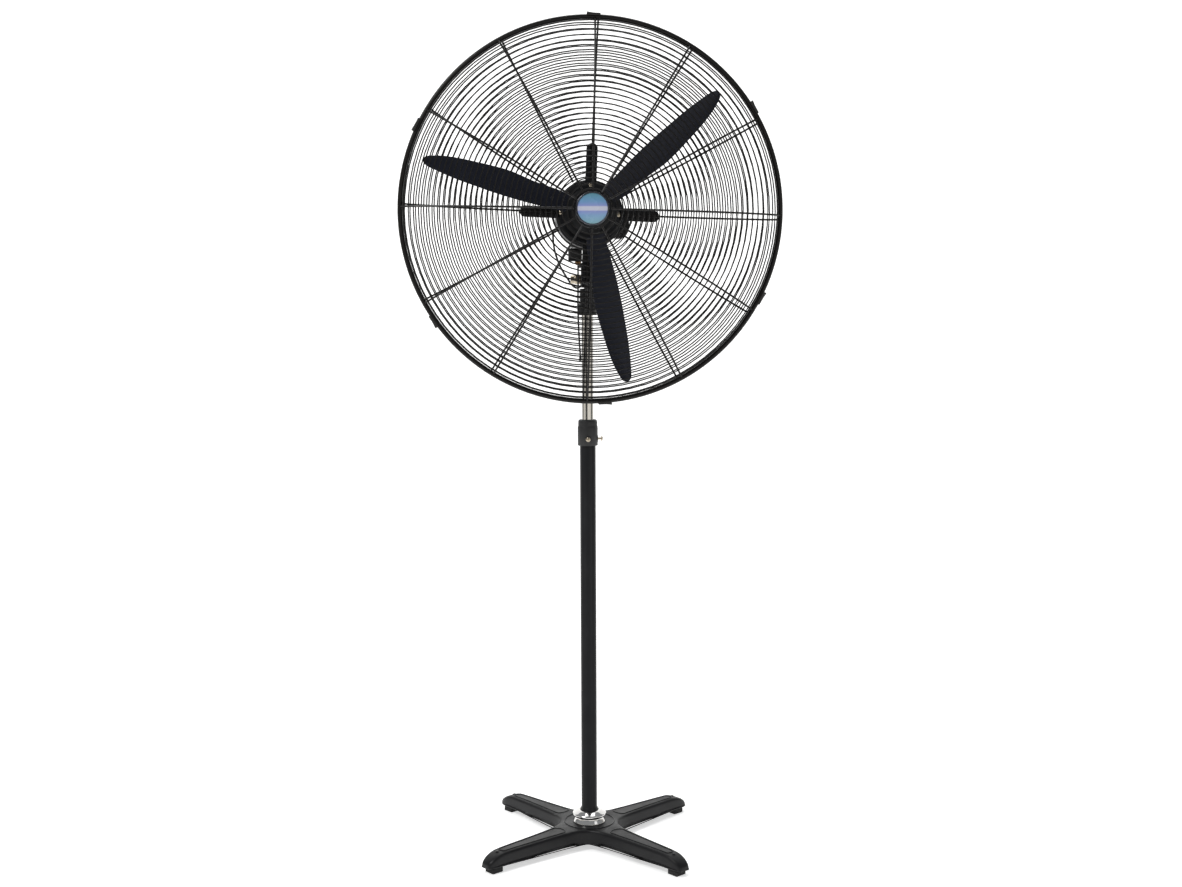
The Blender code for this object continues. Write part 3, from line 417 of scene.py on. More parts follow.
def guard_half(name, node, first, hub_y, rim_y, start_turn, rings, outward):
    """One wire cage half: rings welded to spokes that turn over to meet the rim."""
    fan = settings()
    wire, spoke, rim_wire = fan.ring_wire / 2, fan.spoke_wire / 2, fan.rim_wire / 2
    rim = RIM_OUTSIDE - rim_wire
    shape = bmesh.new()
    spacing = (rim - RIM_MARGIN - first) / (rings - 1)

    def spot(radius, angle, y):
        return (radius * math.cos(angle), COLUMN + y, HUB_Z + radius * math.sin(angle))

    for number in range(rings):
        radius = first + spacing * number
        steps = max(36, int(radius / (5.2 * MM)))
        path = [spot(radius, 2 * math.pi * i / steps, dome(radius, hub_y, rim_y))
                for i in range(steps)]
        sweep(shape, path, wire, sides=6, closed=True)
    steps = 160
    path = [spot(rim, 2 * math.pi * i / steps, rim_y) for i in range(steps)]
    sweep(shape, path, rim_wire, sides=12, closed=True)
    seat = outward * (wire + spoke) * 0.9
    for number in range(fan.spokes):
        angle = start_turn + 2 * math.pi * number / fan.spokes
        path = []
        for step in range(SPOKE_STEPS + 1):
            share = step / SPOKE_STEPS
            radius = first - SPOKE_START + (rim - first + SPOKE_START) * (1 - (1 - share) ** 1.5)
            fade = min(1.0, (rim - radius) / (12 * MM))
            path.append(spot(radius, angle, dome(radius, hub_y, rim_y) + seat * fade))
        sweep(shape, path, spoke, sides=8)
    return publish(name, shape, wire_coat(), "head", "wire_black", node)


class FAN_OT_guards(Operator):
    """Front and rear guards with every ring, spoke and rim"""
    bl_idname = "fan.guards"
    bl_label = "Guards"

    def execute(self, context):
        fan = settings()
        guard_half("front_guard_wires", "front_guard", 42 * MM, FRONT_HUB_Y, FRONT_RIM_Y,
                   FRONT_TURN, fan.front_rings, -1)
        guard_half("rear_guard_wires", "rear_guard", 80 * MM, REAR_HUB_Y, REAR_RIM_Y,
                   REAR_TURN, fan.rear_rings, 1)
        return {"FINISHED"}


class FAN_OT_badge(Operator):
    """Plain round badge: a spun ring round a printed disc"""
    bl_idname = "fan.badge"
    bl_label = "Badge"

    def execute(self, context):
        centre = (0, COLUMN, HUB_Z)
        back = -0.3240
        ring = bmesh.new()
        turn(ring, [(0.0318, back), (0.0346, back), (0.0355, back - 0.0010), (0.0355, back - 0.0032),
                    (0.0350, back - 0.0042), (0.0340, back - 0.0049), (0.0328, back - 0.0049),
                    (0.0320, back - 0.0042), (0.0318, back - 0.0034)], centre, "Y", 72)
        publish("badge_rim", ring, badge_ring(), "head", "badge", "guard_badge")
        disc = bmesh.new()
        turn(disc, [(0, back), (0.0317, back), (0.0317, back - 0.0034), (0.0300, back - 0.0038),
                    (0.0200, back - 0.0044), (0, back - 0.0047)], centre, "Y", 72, closed=False)
        publish("badge_face", disc, badge_foil(), "head", "badge")
        return {"FINISHED"}


class FAN_OT_clips(Operator):
    """Six rim clips, each a bent strap with a raised lever end"""
    bl_idname = "fan.clips"
    bl_label = "Rim clips"

    angles = (89, 32, -27, -86, -145.4, 153.8)
    rim = 0.4135
    # place along the strap, lift of its outer face and trim of its rear edge, in millimetres
    stations = ((-14.5, 0.4, 5.0), (-12.5, 1.1, 0.5), (-4.0, 1.3, 0.0), (3.0, 1.7, 0.0),
                (9.0, 2.6, 0.0), (13.0, 3.3, 0.0), (14.5, 3.0, 1.2))

    def execute(self, context):
        inside, outside, lip = self.rim + 0.5 * MM, self.rim + 2.0 * MM, self.rim - 3.6 * MM
        front, back = FRONT_RIM_Y - 6.0 * MM, REAR_RIM_Y + 8.0 * MM
        for number, angle in enumerate(self.angles, start=1):
            shape = bmesh.new()
            sections = []
            for along, lift, trim in self.stations:
                along, lift, trim = along * MM, lift * MM, trim * MM * 0.5
                ring = [(inside, back - trim), (inside, front), (lip, front), (lip, front - 1.6 * MM),
                        (outside - 1 * MM, front - 1.8 * MM), (inside + lift, front - 0.9 * MM),
                        (inside + lift + 0.4 * MM, front + 1.0 * MM),
                        (inside + lift + 0.4 * MM, back - 2.0 * MM - trim),
                        (inside + lift, back - 0.6 * MM - trim), (inside + 0.5 * MM, back - trim)]
                sections.append(around_hub([(radius, y, along) for radius, y in ring],
                                           math.radians(angle)))
            loft(shape, sections)
            clip = publish("rim_clip_%d" % number, shape, clip_steel(), "clip_%d" % number,
                           "zinc_steel", "guard_clip_%d" % number)
            soften(clip, 0.35 * MM)
        return {"FINISHED"}


# ---------------------------------------------------------------- blades and hub
BLADE_ROOT, BLADE_TIP, BLADE_PLANE = 0.050, 0.375, -0.235
SHEET_START = 0.052                  # where a blade's sheet begins
ROOT_PITCH, TWIST, CAMBER = 24, 5, 4.5 * MM
LEADING = ((0.050, 0.0190), (0.073, 0.0245), (0.135, 0.0270), (0.188, 0.0330), (0.225, 0.0325),
           (0.258, 0.0300), (0.301, 0.0262), (0.333, 0.0212), (0.354, 0.0155), (0.366, 0.0112),
           (0.372, 0.0076), (0.3745, 0.0038), (0.375, 0.0))
TRAILING = ((0.050, 0.0175), (0.073, 0.0190), (0.135, 0.0225), (0.165, 0.0236), (0.215, 0.0236),
            (0.241, 0.0225), (0.295, 0.0200), (0.344, 0.0148), (0.362, 0.0118), (0.371, 0.0080),
            (0.3745, 0.0038), (0.375, 0.0))
BLADE_ANGLES = (42.4, 162.7, -78.0)


def outline(table, reach):
    """Half width at a reach, on a smooth curve through the outline's points."""
    last = len(table) - 1
    i = next((n for n in range(last) if reach <= table[n + 1][0]), last - 1)
    (r0, v0), (r1, v1) = table[i], table[i + 1]
    before, after = table[max(0, i - 1)], table[min(last, i + 2)]
    span = r1 - r0
    slope0 = (v1 - before[1]) / (r1 - before[0]) * span
    slope1 = (after[1] - v0) / (after[0] - r0) * span
    t = min(1.0, max(0.0, (reach - r0) / span))
    return ((2 * t ** 3 - 3 * t * t + 1) * v0 + (t ** 3 - 2 * t * t + t) * slope0
            + (3 * t * t - 2 * t ** 3) * v1 + (t ** 3 - t * t) * slope1)


def blade_spot(reach, share, lift):
    """A point on a blade lying along +X; share runs 0 to 1 from leading to trailing edge."""
    lead, trail = max(0.0008, outline(LEADING, reach)), max(0.0008, outline(TRAILING, reach))
    across = -lead + share * (lead + trail)
    camber = CAMBER * (1 - (2 * share - 1) ** 2)
    pitch = math.radians(ROOT_PITCH - TWIST * (reach - BLADE_ROOT) / (BLADE_TIP - BLADE_ROOT))
    return (reach, BLADE_PLANE - across * math.tan(pitch) + camber + lift, across)


class FAN_OT_blades(Operator):
    """Three cambered paddle blades with rolled edges"""
    bl_idname = "fan.blades"
    bl_label = "Blades"

    def execute(self, context):
        sheet = 1.8 * MM
        stations = 44
        shares = [0.5 - 0.5 * math.cos(math.pi * k / 16) for k in range(17)]
        for number, angle in enumerate(BLADE_ANGLES, start=1):
            shape = bmesh.new()
            sections = []
            for k in range(stations + 1):
                share = k / stations
                reach = SHEET_START + (BLADE_TIP - SHEET_START) * (1 - (1 - share) ** 1.6)
                front, back = [], []
                for s in shares:
                    edge = min(1.0, 12 * min(s, 1 - s) + 0.35)
                    thinned = sheet * 0.5 * (1 - edge)
                    front.append(blade_spot(reach, s, thinned))
                    back.append(blade_spot(reach, s, sheet - thinned))
                sections.append(around_hub(front + back[::-1], math.radians(angle)))
            loft(shape, sections)
            publish("paddle_blade_%d" % number, shape, blade_paint(), "rotor", "blade_black",
                    "fan_blade_%d" % number, smooth=50)
            rivets = bmesh.new()
            for reach, share in ((0.062, 0.34), (0.062, 0.66), (0.088, 0.5)):
                (spot,) = around_hub([blade_spot(reach, share, 0)], math.radians(angle))
                turn(rivets, [(0, -2.0 * MM), (0.0022, -1.7 * MM), (0.0036, -0.9 * MM),
                              (0.0040, 0.3 * MM), (0, 0.6 * MM)], spot, "Y", 16, closed=False)
            publish("blade_rivets_%d" % number, rivets, blade_paint(), "rotor", "blade_black")
        return {"FINISHED"}


class FAN_OT_hub(Operator):
    """Pressed hub with its three blade irons, and the nut"""
    bl_idname = "fan.hub"
    bl_label = "Hub"

    def execute(self, context):
        centre = (0, COLUMN, HUB_Z)
        shape = bmesh.new()
        turn(shape, [(0.0053, -0.2220), (0.0135, -0.2220), (0.0140, -0.2225), (0.0142, -0.2285),
                     (0.0320, -0.2308), (0.0340, -0.2316), (0.0345, -0.2330), (0.0345, -0.2382),
                     (0.0338, -0.2394), (0.0325, -0.2400), (0.0260, -0.2402), (0.0240, -0.2390),
                     (0.0190, -0.2390), (0.0170, -0.2400), (0.0146, -0.2402), (0.0140, -0.2436),
                     (0.0132, -0.2440), (0.0053, -0.2440)], centre, "Y", 64)
        iron_start, iron_length, iron_sheet = 0.026, 0.074, 3.0 * MM
        for angle in BLADE_ANGLES:
            sections = []
            for step in range(13):
                reach = iron_start + iron_length * step / 12
                half = 0.28 * math.sqrt(max(0.02, 1 - (step / 12) ** 6))
                section = [blade_spot(max(reach, SHEET_START), 0.5 + s * half, 2.1 * MM)
                           for s in (-1, -0.5, 0, 0.5, 1)]
                section += [(x, y + iron_sheet, z) for x, y, z in reversed(section)]
                sections.append(around_hub([(reach, y, z) for x, y, z in section],
                                           math.radians(angle)))
            loft(shape, sections)
        publish("hub_pressing", shape, powder_coat(), "rotor", "paint_black", "blade_hub")
        nut = bmesh.new()
        turn(nut, [(0.0053, -0.2443), (0.0108, -0.2443), (0.0108, -0.2452), (0.0096, -0.2454),
                   (0.0096, -0.2512), (0.0084, -0.2530), (0.0053, -0.2530)], centre, "Y", 6)
        fastener = publish("spindle_nut", nut, zinc(), "rotor", "zinc_steel", "hub_nut")
        soften(fastener, 0.3 * MM)
        return {"FINISHED"}


# ---------------------------------------------------------------- base
HUB_TOP, LEG_TOP, LEG_BOTTOM, LEG_REACH = 0.048, 0.046, 0.0130, 0.318
LEG_STATIONS = ((0.070, 0.0370, HUB_TOP), (0.082, 0.0335, HUB_TOP - 0.0006),
                (0.100, 0.0295, LEG_TOP + 0.001), (0.150, 0.0263, LEG_TOP + 0.0005),
                (0.200, 0.0235, LEG_TOP), (0.240, 0.0218, LEG_TOP - 0.0004),
                (0.270, 0.0205, LEG_TOP - 0.001), (0.284, 0.0200, LEG_TOP - 0.0028),
                (0.296, 0.0195, LEG_TOP - 0.0070), (0.306, 0.0182, LEG_TOP - 0.0120),
                (0.314, 0.0160, LEG_TOP - 0.0180), (LEG_REACH, 0.0130, LEG_TOP - 0.0240))


def leg_width(reach):
    """Half width of a leg at a reach."""
    for (r0, w0, _), (r1, w1, _) in zip(LEG_STATIONS, LEG_STATIONS[1:]):
        if reach <= r1:
            return w0 + (w1 - w0) * max(0.0, reach - r0) / (r1 - r0)
    return LEG_STATIONS[-1][1]


def leg_height(reach):
    """Height of a leg's top at a reach."""
    for (r0, _, z0), (r1, _, z1) in zip(LEG_STATIONS, LEG_STATIONS[1:]):
        if reach <= r1:
            return z0 + (z1 - z0) * max(0.0, reach - r0) / (r1 - r0)
    return LEG_STATIONS[-1][2]


def side_profile(half, top, inset):
    """Points of a leg's side from its foot up to its top, rounded at the shoulder."""
    half, top = half - inset, top - inset
    soft = min(8.0 * MM, 0.7 * half)
    return [(half, LEG_BOTTOM), (half, LEG_BOTTOM + 3 * MM), (half - 0.4 * MM, top - soft),
            (half - 0.12 * soft, top - 0.55 * soft), (half - 0.45 * soft, top - 0.14 * soft),
            (half - soft, top)]


def base_skin(shape, inset):
    """Outer or inner skin of the casting; returns the points of its lower edge."""
    turns = [LEG_TURN + math.pi / 2 * n for n in range(4)]
    root_half = LEG_STATIONS[0][1]

    def place(turn_by, x, y, z):
        c, s = math.cos(turn_by), math.sin(turn_by)
        return shape.verts.new((x * c - y * s, COLUMN + x * s + y * c, z))

    legs, fillets = [], []
    for by in turns:
        rings = []
        for reach, half, top in LEG_STATIONS:
            side = side_profile(half, top, inset)
            ring = [(-y, z) for y, z in side] + side[::-1]
            reach = min(reach - (1.4 * inset if not rings else 0), LEG_REACH - inset)
            rings.append([place(by, reach, y, z) for y, z in ring])
        legs.append(rings)
        columns = []
        for swing, reach in ((-9.6, 0.0722), (0, 0.0697), (9.6, 0.0722)):
            spot = by + math.pi / 4 + math.radians(swing)
            columns.append([place(spot, reach - inset - (root_half - half), 0,
                                  z - (inset if i > 1 else 0))
                            for i, (half, z) in enumerate(side_profile(root_half, HUB_TOP, 0))])
        fillets.append(columns)
    foot, middle = [], []
    for number in range(4):
        leg, after = legs[number], legs[(number + 1) % 4][0]
        count = len(leg[0])
        for low, high in zip(leg, leg[1:]):
            for i in range(count - 1):
                shape.faces.new((low[i], low[i + 1], high[i + 1], high[i]))
        shape.faces.new(leg[-1])
        strips = [leg[0][::-1][:6]] + fillets[number] + [after[:6]]
        for low, high in zip(strips, strips[1:]):
            for i in range(5):
                shape.faces.new((low[i], high[i], high[i + 1], low[i + 1]))
        foot += [ring[0] for ring in reversed(leg)] + [ring[-1] for ring in leg]
        foot += [column[0] for column in fillets[number]]
        middle += [leg[0][5], leg[0][6]] + [column[5] for column in fillets[number]]
    shape.faces.new(middle)
    return foot


class FAN_OT_base(Operator):
    """Cast cross base with embossed leg panels, and its four pads"""
    bl_idname = "fan.base"
    bl_label = "Base"

    def execute(self, context):
        shape = bmesh.new()
        outer = base_skin(shape, 0.0)
        inner = base_skin(shape, 5 * MM)
        count = len(outer)
        for i in range(count):
            j = (i + 1) % count
            shape.faces.new((outer[i], outer[j], inner[j], inner[i]))
        body = publish("base_casting", shape, iron_paint(), "stand", "cast_iron_black", "base_cross",
                       smooth=180)
        step = body.modifiers.new("casting_round", "SUBSURF")
        step.levels = step.render_levels = 2

        trim = bmesh.new()
        inner_end, outer_end, margin = 0.098, 0.268, 10.5 * MM
        for number in range(4):
            by = LEG_TURN + math.pi / 2 * number

            def on_leg(reach, y, lift=0.0):
                c, s = math.cos(by), math.sin(by)
                return (reach * c - y * s, COLUMN + reach * s + y * c, leg_height(reach) + lift)

            path = []
            for k in range(25):
                reach = inner_end + (outer_end - inner_end) * k / 24
                path.append(on_leg(reach, leg_width(reach) - margin))
            tip = leg_width(outer_end) - margin
            for k in range(1, 8):
                angle = math.pi / 2 - math.pi * k / 8
                path.append(on_leg(outer_end + 0.6 * tip * math.cos(angle), tip * math.sin(angle)))
            for k in range(25):
                reach = outer_end + (inner_end - outer_end) * k / 24
                path.append(on_leg(reach, margin - leg_width(reach)))
            root = leg_width(inner_end) - margin
            for k in range(1, 8):
                angle = -math.pi / 2 - math.pi * k / 8
                path.append(on_leg(inner_end + 0.6 * root * math.cos(angle), root * math.sin(angle)))
            sweep(trim, path, 1.3 * MM, sides=8, closed=True)
            dimple = Vector(on_leg(0.283, 0.0, -0.4 * MM))
            turn(trim, [(0.0042, 0), (0.0038, 1.2 * MM), (0.0025, 1.9 * MM), (0, 2.1 * MM)], dimple,
                 "Z", 20, closed=False)
        circle = 0.0595
        path = [(circle * math.cos(a), COLUMN + circle * math.sin(a), HUB_TOP - 0.2 * MM)
                for a in (2 * math.pi * k / 72 for k in range(72))]
        sweep(trim, path, 1.5 * MM, sides=8, closed=True)
        publish("base_embossing", trim, iron_paint(), "stand", "cast_iron_black")

        for number in range(1, 5):
            carried("foot_pad_%d" % number, rubber(), "stand", "rubber_black", 0.8 * MM)
        repaint(zinc(), "column_bolt")
        return {"FINISHED"}


# ---------------------------------------------------------------- column
SCREW_HEIGHT = 0.967


class FAN_OT_column(Operator):
    """Outer tube, chrome foot ring, height collar with its screws, and the sliding inner tube"""
    bl_idname = "fan.column"
    bl_label = "Column"

    def execute(self, context):
        centre = (0, COLUMN, 0)
        tube = bmesh.new()
        turn(tube, [(0.0056, 0.0483), (0.0185, 0.0483), (0.0185, 0.0705), (0.0210, 0.0708),
                    (0.0213, 0.0712), (0.0213, 0.0770), (0.0209, 0.0782), (0.0200, 0.0815),
                    (0.0190, 0.0832), (0.0185, 0.0840), (0.0185, 0.9955), (0.0183, 0.9960),
                    (0.0172, 0.9960), (0.0170, 0.9955), (0.0170, 0.0543), (0.0056, 0.0543)],
             centre, "Z", 64)
        publish("outer_tube", tube, powder_coat(), "stand", "paint_black", "outer_column")

        ring = bmesh.new()
        turn(ring, [(0.0222, 0.0765), (0.0240, 0.0768), (0.0275, 0.0762), (0.0300, 0.0748),
                    (0.0370, 0.0712), (0.0391, 0.0697), (0.0400, 0.0680), (0.0401, 0.0665),
                    (0.0397, 0.0648), (0.0386, 0.0632), (0.0364, 0.0620), (0.0352, 0.0607),
                    (0.0353, 0.0594), (0.0366, 0.0560), (0.0380, 0.0526), (0.0388, 0.0509),
                    (0.0392, 0.0497), (0.0392, 0.0485), (0.0188, 0.0483), (0.0188, 0.0690),
                    (0.0222, 0.0700)], centre, "Z", 80)
        publish("foot_ring", ring, chrome(), "stand", "chrome", "column_flange_ring")

        collar = bmesh.new()
        turn(collar, [(0.0188, 0.9510), (0.0222, 0.9510), (0.0230, 0.9513), (0.0235, 0.9522),
                      (0.0235, 0.9945), (0.0232, 0.9958), (0.0224, 0.9966), (0.0224, 1.0060),
                      (0.0221, 1.0085), (0.0208, 1.0108), (0.0188, 1.0120), (0.0145, 1.0120),
                      (0.0142, 1.0115), (0.0143, 0.9970), (0.0188, 0.9970)], centre, "Z", 64)
        # screw bosses stand out of the collar behind each head
        for axis, sign in (("Y", -1), ("X", 1)):
            turn(collar, [(0, 0.0200), (0.0085, 0.0200), (0.0083, 0.0236), (0.0076, 0.0240),
                          (0.0046, 0.0240), (0.0044, 0.0236), (0, 0.0236)],
                 (0, COLUMN, SCREW_HEIGHT), axis, 32, closed=False, facing=Matrix.Scale(sign, 3))
        publish("clamp_collar", collar, abs_black(), "stand", "plastic_black", "height_collar")

        for body, node, axis, sign, stem in (("front_screw", "height_screw_front", "Y", -1, 0.0030),
                                             ("side_screw", "height_screw_side", "X", 1, 0.0075)):
            under = 0.0238 + stem
            head = bmesh.new()
            turn(head, [(0, 0.0197), (0.0025, 0.0197), (0.0025, under), (0.0056, under),
                        (0.0058, under + 0.0004), (0.0058, under + 0.0016), (0.0052, under + 0.0030),
                        (0.0038, under + 0.0038), (0.0019, under + 0.0040),
                        (0.0012, under + 0.0022), (0, under + 0.0022)],
                 (0, COLUMN, SCREW_HEIGHT), axis, 24, closed=False, facing=Matrix.Scale(sign, 3))
            publish(node + "_head", head, zinc(), body, "zinc_steel", node)

        inner = bmesh.new()
        turn(inner, [(0.0125, 0.5605), (0.0140, 0.5605), (0.0140, 1.2755), (0.0125, 1.2755)],
             centre, "Z", 64)
        publish("sliding_tube", inner, chrome(), "mast", "chrome", "inner_tube")
        repaint(abs_black(), "guide_bush")
        return {"FINISHED"}


# ---------------------------------------------------------------- neck
class FAN_OT_neck(Operator):
    """Pole socket, forked neck, tilt bolt, pull switch and glands"""
    bl_idname = "fan.neck"
    bl_label = "Neck"

    def execute(self, context):
        carried("pole_socket", powder_coat(), "mast", "paint_black", 0.5 * MM)
        carried("tilt_neck", powder_coat(), "neck", "paint_black", 0.6 * MM)
        carried("tilt_bolt", zinc(), "tilt_grip", "zinc_steel", 0.6 * MM)
        carried("tilt_nut", zinc(), "neck", "zinc_steel", 0.4 * MM)
        carried("pull_switch_body", abs_black(), "neck", "plastic_black", 0.8 * MM)
        centre = (-0.0215, COLUMN - 0.0240, 0)
        nipple = bmesh.new()
        turn(nipple, [(0.0024, 1.3700), (0.0044, 1.3700), (0.0050, 1.3706), (0.0046, 1.3716),
                      (0.0050, 1.3726), (0.0046, 1.3736), (0.0052, 1.3742), (0.0070, 1.3744),
                      (0.0072, 1.3756), (0.0072, 1.3778), (0.0068, 1.3787), (0.0024, 1.3787)],
             centre, "Z", 32)
        publish("threaded_nipple", nipple, brass(), "neck", "brass", "switch_nipple")
        repaint(brass(), "switch_plunger")
        carried("lead_gland_neck", rubber(), "neck", "rubber_black", 0.3 * MM)
        carried("mains_gland", rubber(), "neck", "rubber_black", 0.3 * MM)
        carried("link_rod", bare_steel(), "link", "steel", 0.3 * MM)
        return {"FINISHED"}


# ---------------------------------------------------------------- motor head
class FAN_OT_motor(Operator):
    """Motor shields and shell, terminal box, mounting spider with ribbed bars, gearbox and knob"""
    bl_idname = "fan.motor"
    bl_label = "Motor head"

    def execute(self, context):
        centre = (0, COLUMN, HUB_Z)
        front = bmesh.new()
        turn(front, [(0.0070, -0.1680), (0.0155, -0.1680), (0.0162, -0.1675), (0.0170, -0.1668),
                     (0.0240, -0.1668), (0.0255, -0.1660), (0.0280, -0.1651), (0.0690, -0.1650),
                     (0.0715, -0.1645), (0.0736, -0.1632), (0.0747, -0.1614), (0.0750, -0.1590),
                     (0.0750, -0.1530), (0.0743, -0.1524), (0.0743, -0.1512), (0.0750, -0.1506),
                     (0.0750, -0.1500), (0.0700, -0.1500), (0.0700, -0.1600), (0.0170, -0.1600),
                     (0.0170, -0.1500), (0.0113, -0.1500), (0.0113, -0.1630), (0.0070, -0.1630)],
             centre, "Y", 96)
        publish("front_end_shield", front, powder_coat(), "head", "paint_black",
                "motor_front_shield")
        shell = bmesh.new()
        outer = []
        shell_front, shell_back, steps = -0.1497, -0.0620, 36
        for k in range(steps + 1):
            groove = 0.0012 if 6 < k < 30 and k % 3 == 0 else 0.0
            outer.append((0.0748 - groove, shell_front + (shell_back - shell_front) * k / steps))
        turn(shell, outer + [(0.0718, shell_back), (0.0718, shell_front)], centre, "Y", 96)
        gland_turn = Matrix.Rotation(math.radians(156.8), 3, "Y")
        turn(shell, [(0, 0.0735), (0.0058, 0.0735), (0.0058, 0.0762), (0.0048, 0.0766),
                     (0.0044, 0.0800), (0.0026, 0.0800), (0.0026, 0.0775), (0, 0.0775)],
             (0, COLUMN - 0.112, HUB_Z), "X", 24, closed=False, facing=gland_turn)
        publish("motor_shell", shell, powder_coat(), "head", "paint_black", "motor_housing")
        rear = bmesh.new()
        turn(rear, [(0.0113, -0.0620), (0.0170, -0.0620), (0.0170, -0.0560), (0.0700, -0.0560),
                    (0.0700, -0.0620), (0.0750, -0.0620), (0.0750, -0.0560), (0.0742, -0.0538),
                    (0.0725, -0.0524), (0.0700, -0.0520), (0.0070, -0.0520), (0.0070, -0.0540),
                    (0.0113, -0.0540)], centre, "Y", 96)
        publish("rear_end_shield", rear, powder_coat(), "head", "paint_black", "motor_rear_shield")

        spider = bmesh.new()
        back = -0.1653
        turn(spider, [(0.0300, back), (0.0300, back - 0.0024), (0.0306, back - 0.0030),
                      (0.0400, back - 0.0030), (0.0410, back - 0.0022), (0.0430, back - 0.0022),
                      (0.0440, back - 0.0030), (0.0540, back - 0.0030), (0.0550, back - 0.0022),
                      (0.0570, back - 0.0022), (0.0580, back - 0.0030), (0.0694, back - 0.0030),
                      (0.0700, back - 0.0024), (0.0700, back)], centre, "Y", 96)
        bars = [REAR_TURN + number * math.pi / 2 for number in range(4)]
        for by in bars:
            self.bar(spider, by, back)
        publish("ribbed_spider", spider, powder_coat(), "head", "paint_black", "guard_spider")
        screw_circle, face = 0.063, back - 0.0033
        for number, by in enumerate(bars, start=1):
            (spot,) = around_hub([(screw_circle, 0, 0)], by)
            screw = bmesh.new()
            turn(screw, [(0, face), (0.0050, face), (0.0052, face - 0.0003), (0.0052, face - 0.0012),
                         (0.0046, face - 0.0022), (0.0034, face - 0.0030), (0.0017, face - 0.0033),
                         (0.0013, face - 0.0018), (0, face - 0.0018)], spot, "Y", 24, closed=False)
            publish("spider_screw_head_%d" % number, screw, zinc(), "head", "zinc_steel",
                    "spider_screw_%d" % number)

        carried("terminal_box", abs_black(), "head", "plastic_black", 1.0 * MM)
        carried("gearbox_housing", powder_coat(), "head", "paint_black", 0.8 * MM)
        carried("gearbox_cover", powder_coat(), "head", "paint_black", 0.8 * MM)
        centre = (0.0205, COLUMN - 0.020, HUB_Z)
        knob = bmesh.new()
        turn(knob, [(0, 0.0170), (0.0032, 0.0170), (0.0032, 0.0538), (0.0082, 0.0538),
                    (0.0092, 0.0546), (0.0095, 0.0556), (0.0095, 0.0632), (0.0091, 0.0648),
                    (0.0078, 0.0660), (0, 0.0665)], centre, "Z", 40, closed=False)
        for k in range(18):
            angle = 2 * math.pi * k / 18
            rib = [(centre[0] + 0.0094 * math.cos(angle), centre[1] + 0.0094 * math.sin(angle),
                    HUB_Z + z) for z in (0.0560, 0.0595, 0.0630)]
            sweep(knob, rib, 0.7 * MM, sides=6)
        publish("ribbed_knob", knob, abs_black(), "clutch", "plastic_black", "clutch_knob")
        repaint(copper(), "stator")
        repaint(bare_steel(), "rotor_core", "motor_shaft", "front_bearing", "rear_bearing",
                "crank_disc", "swing_pin")
        repaint(brass(), "worm_wheel")
        return {"FINISHED"}

    @staticmethod
    def bar(shape, by, back):
        """One radial bar: rounded end, a groove down its middle and cross ribs."""
        half, start, end, steps = 12.5 * MM, 0.066, 0.1540, 60
        stations = [start + (end - start) * k / steps for k in range(steps + 1)]
        sections = []
        for reach in stations:
            over = max(0.0, reach - (end - half)) / half
            width = max(0.5 * MM, half * math.sqrt(max(0.0, 1 - over * over)))
            rib = 0.7 * MM if 0.078 < reach < 0.142 and int(reach / (3.6 * MM)) % 2 else 0.0
            top = 3.0 * MM - rib
            slot = top - (1.2 * MM if 0.075 < reach < 0.143 else 0.0)
            across = [(-1, 0), (-1, top * 0.8), (-0.9, top), (-0.25, top), (-0.18, slot),
                      (0.18, slot), (0.25, top), (0.9, top), (1, top * 0.8), (1, 0)]
            sections.append(around_hub([(reach, back - lift, a * width) for a, lift in across], by))
        loft(shape, sections)


# ---------------------------------------------------------------- cords
LEAD_ROUTE = ((-0.0740, -0.112, 1.4453), (-0.0775, -0.1115, 1.4436), (-0.0797, -0.106, 1.4340),
              (-0.0790, -0.096, 1.4180), (-0.0760, -0.079, 1.4010), (-0.0705, -0.061, 1.3840),
              (-0.0640, -0.043, 1.3690), (-0.0560, -0.024, 1.3550), (-0.0470, -0.004, 1.3420),
              (-0.0380, 0.013, 1.3300), (-0.0295, 0.029, 1.3215), (-0.0210, 0.042, 1.3190),
              (-0.0140, 0.048, 1.3230), (-0.0110, 0.046, 1.3310), (-0.0108, 0.0382, 1.3345))
PULL_ROUTE = ((-0.0215, -0.024, 1.3695), (-0.0216, -0.024, 1.3300), (-0.0220, -0.024, 1.2950),
              (-0.0220, -0.024, 1.2620), (-0.0208, -0.024, 1.2250), (-0.0192, -0.024, 1.1900),
              (-0.0172, -0.024, 1.1610))


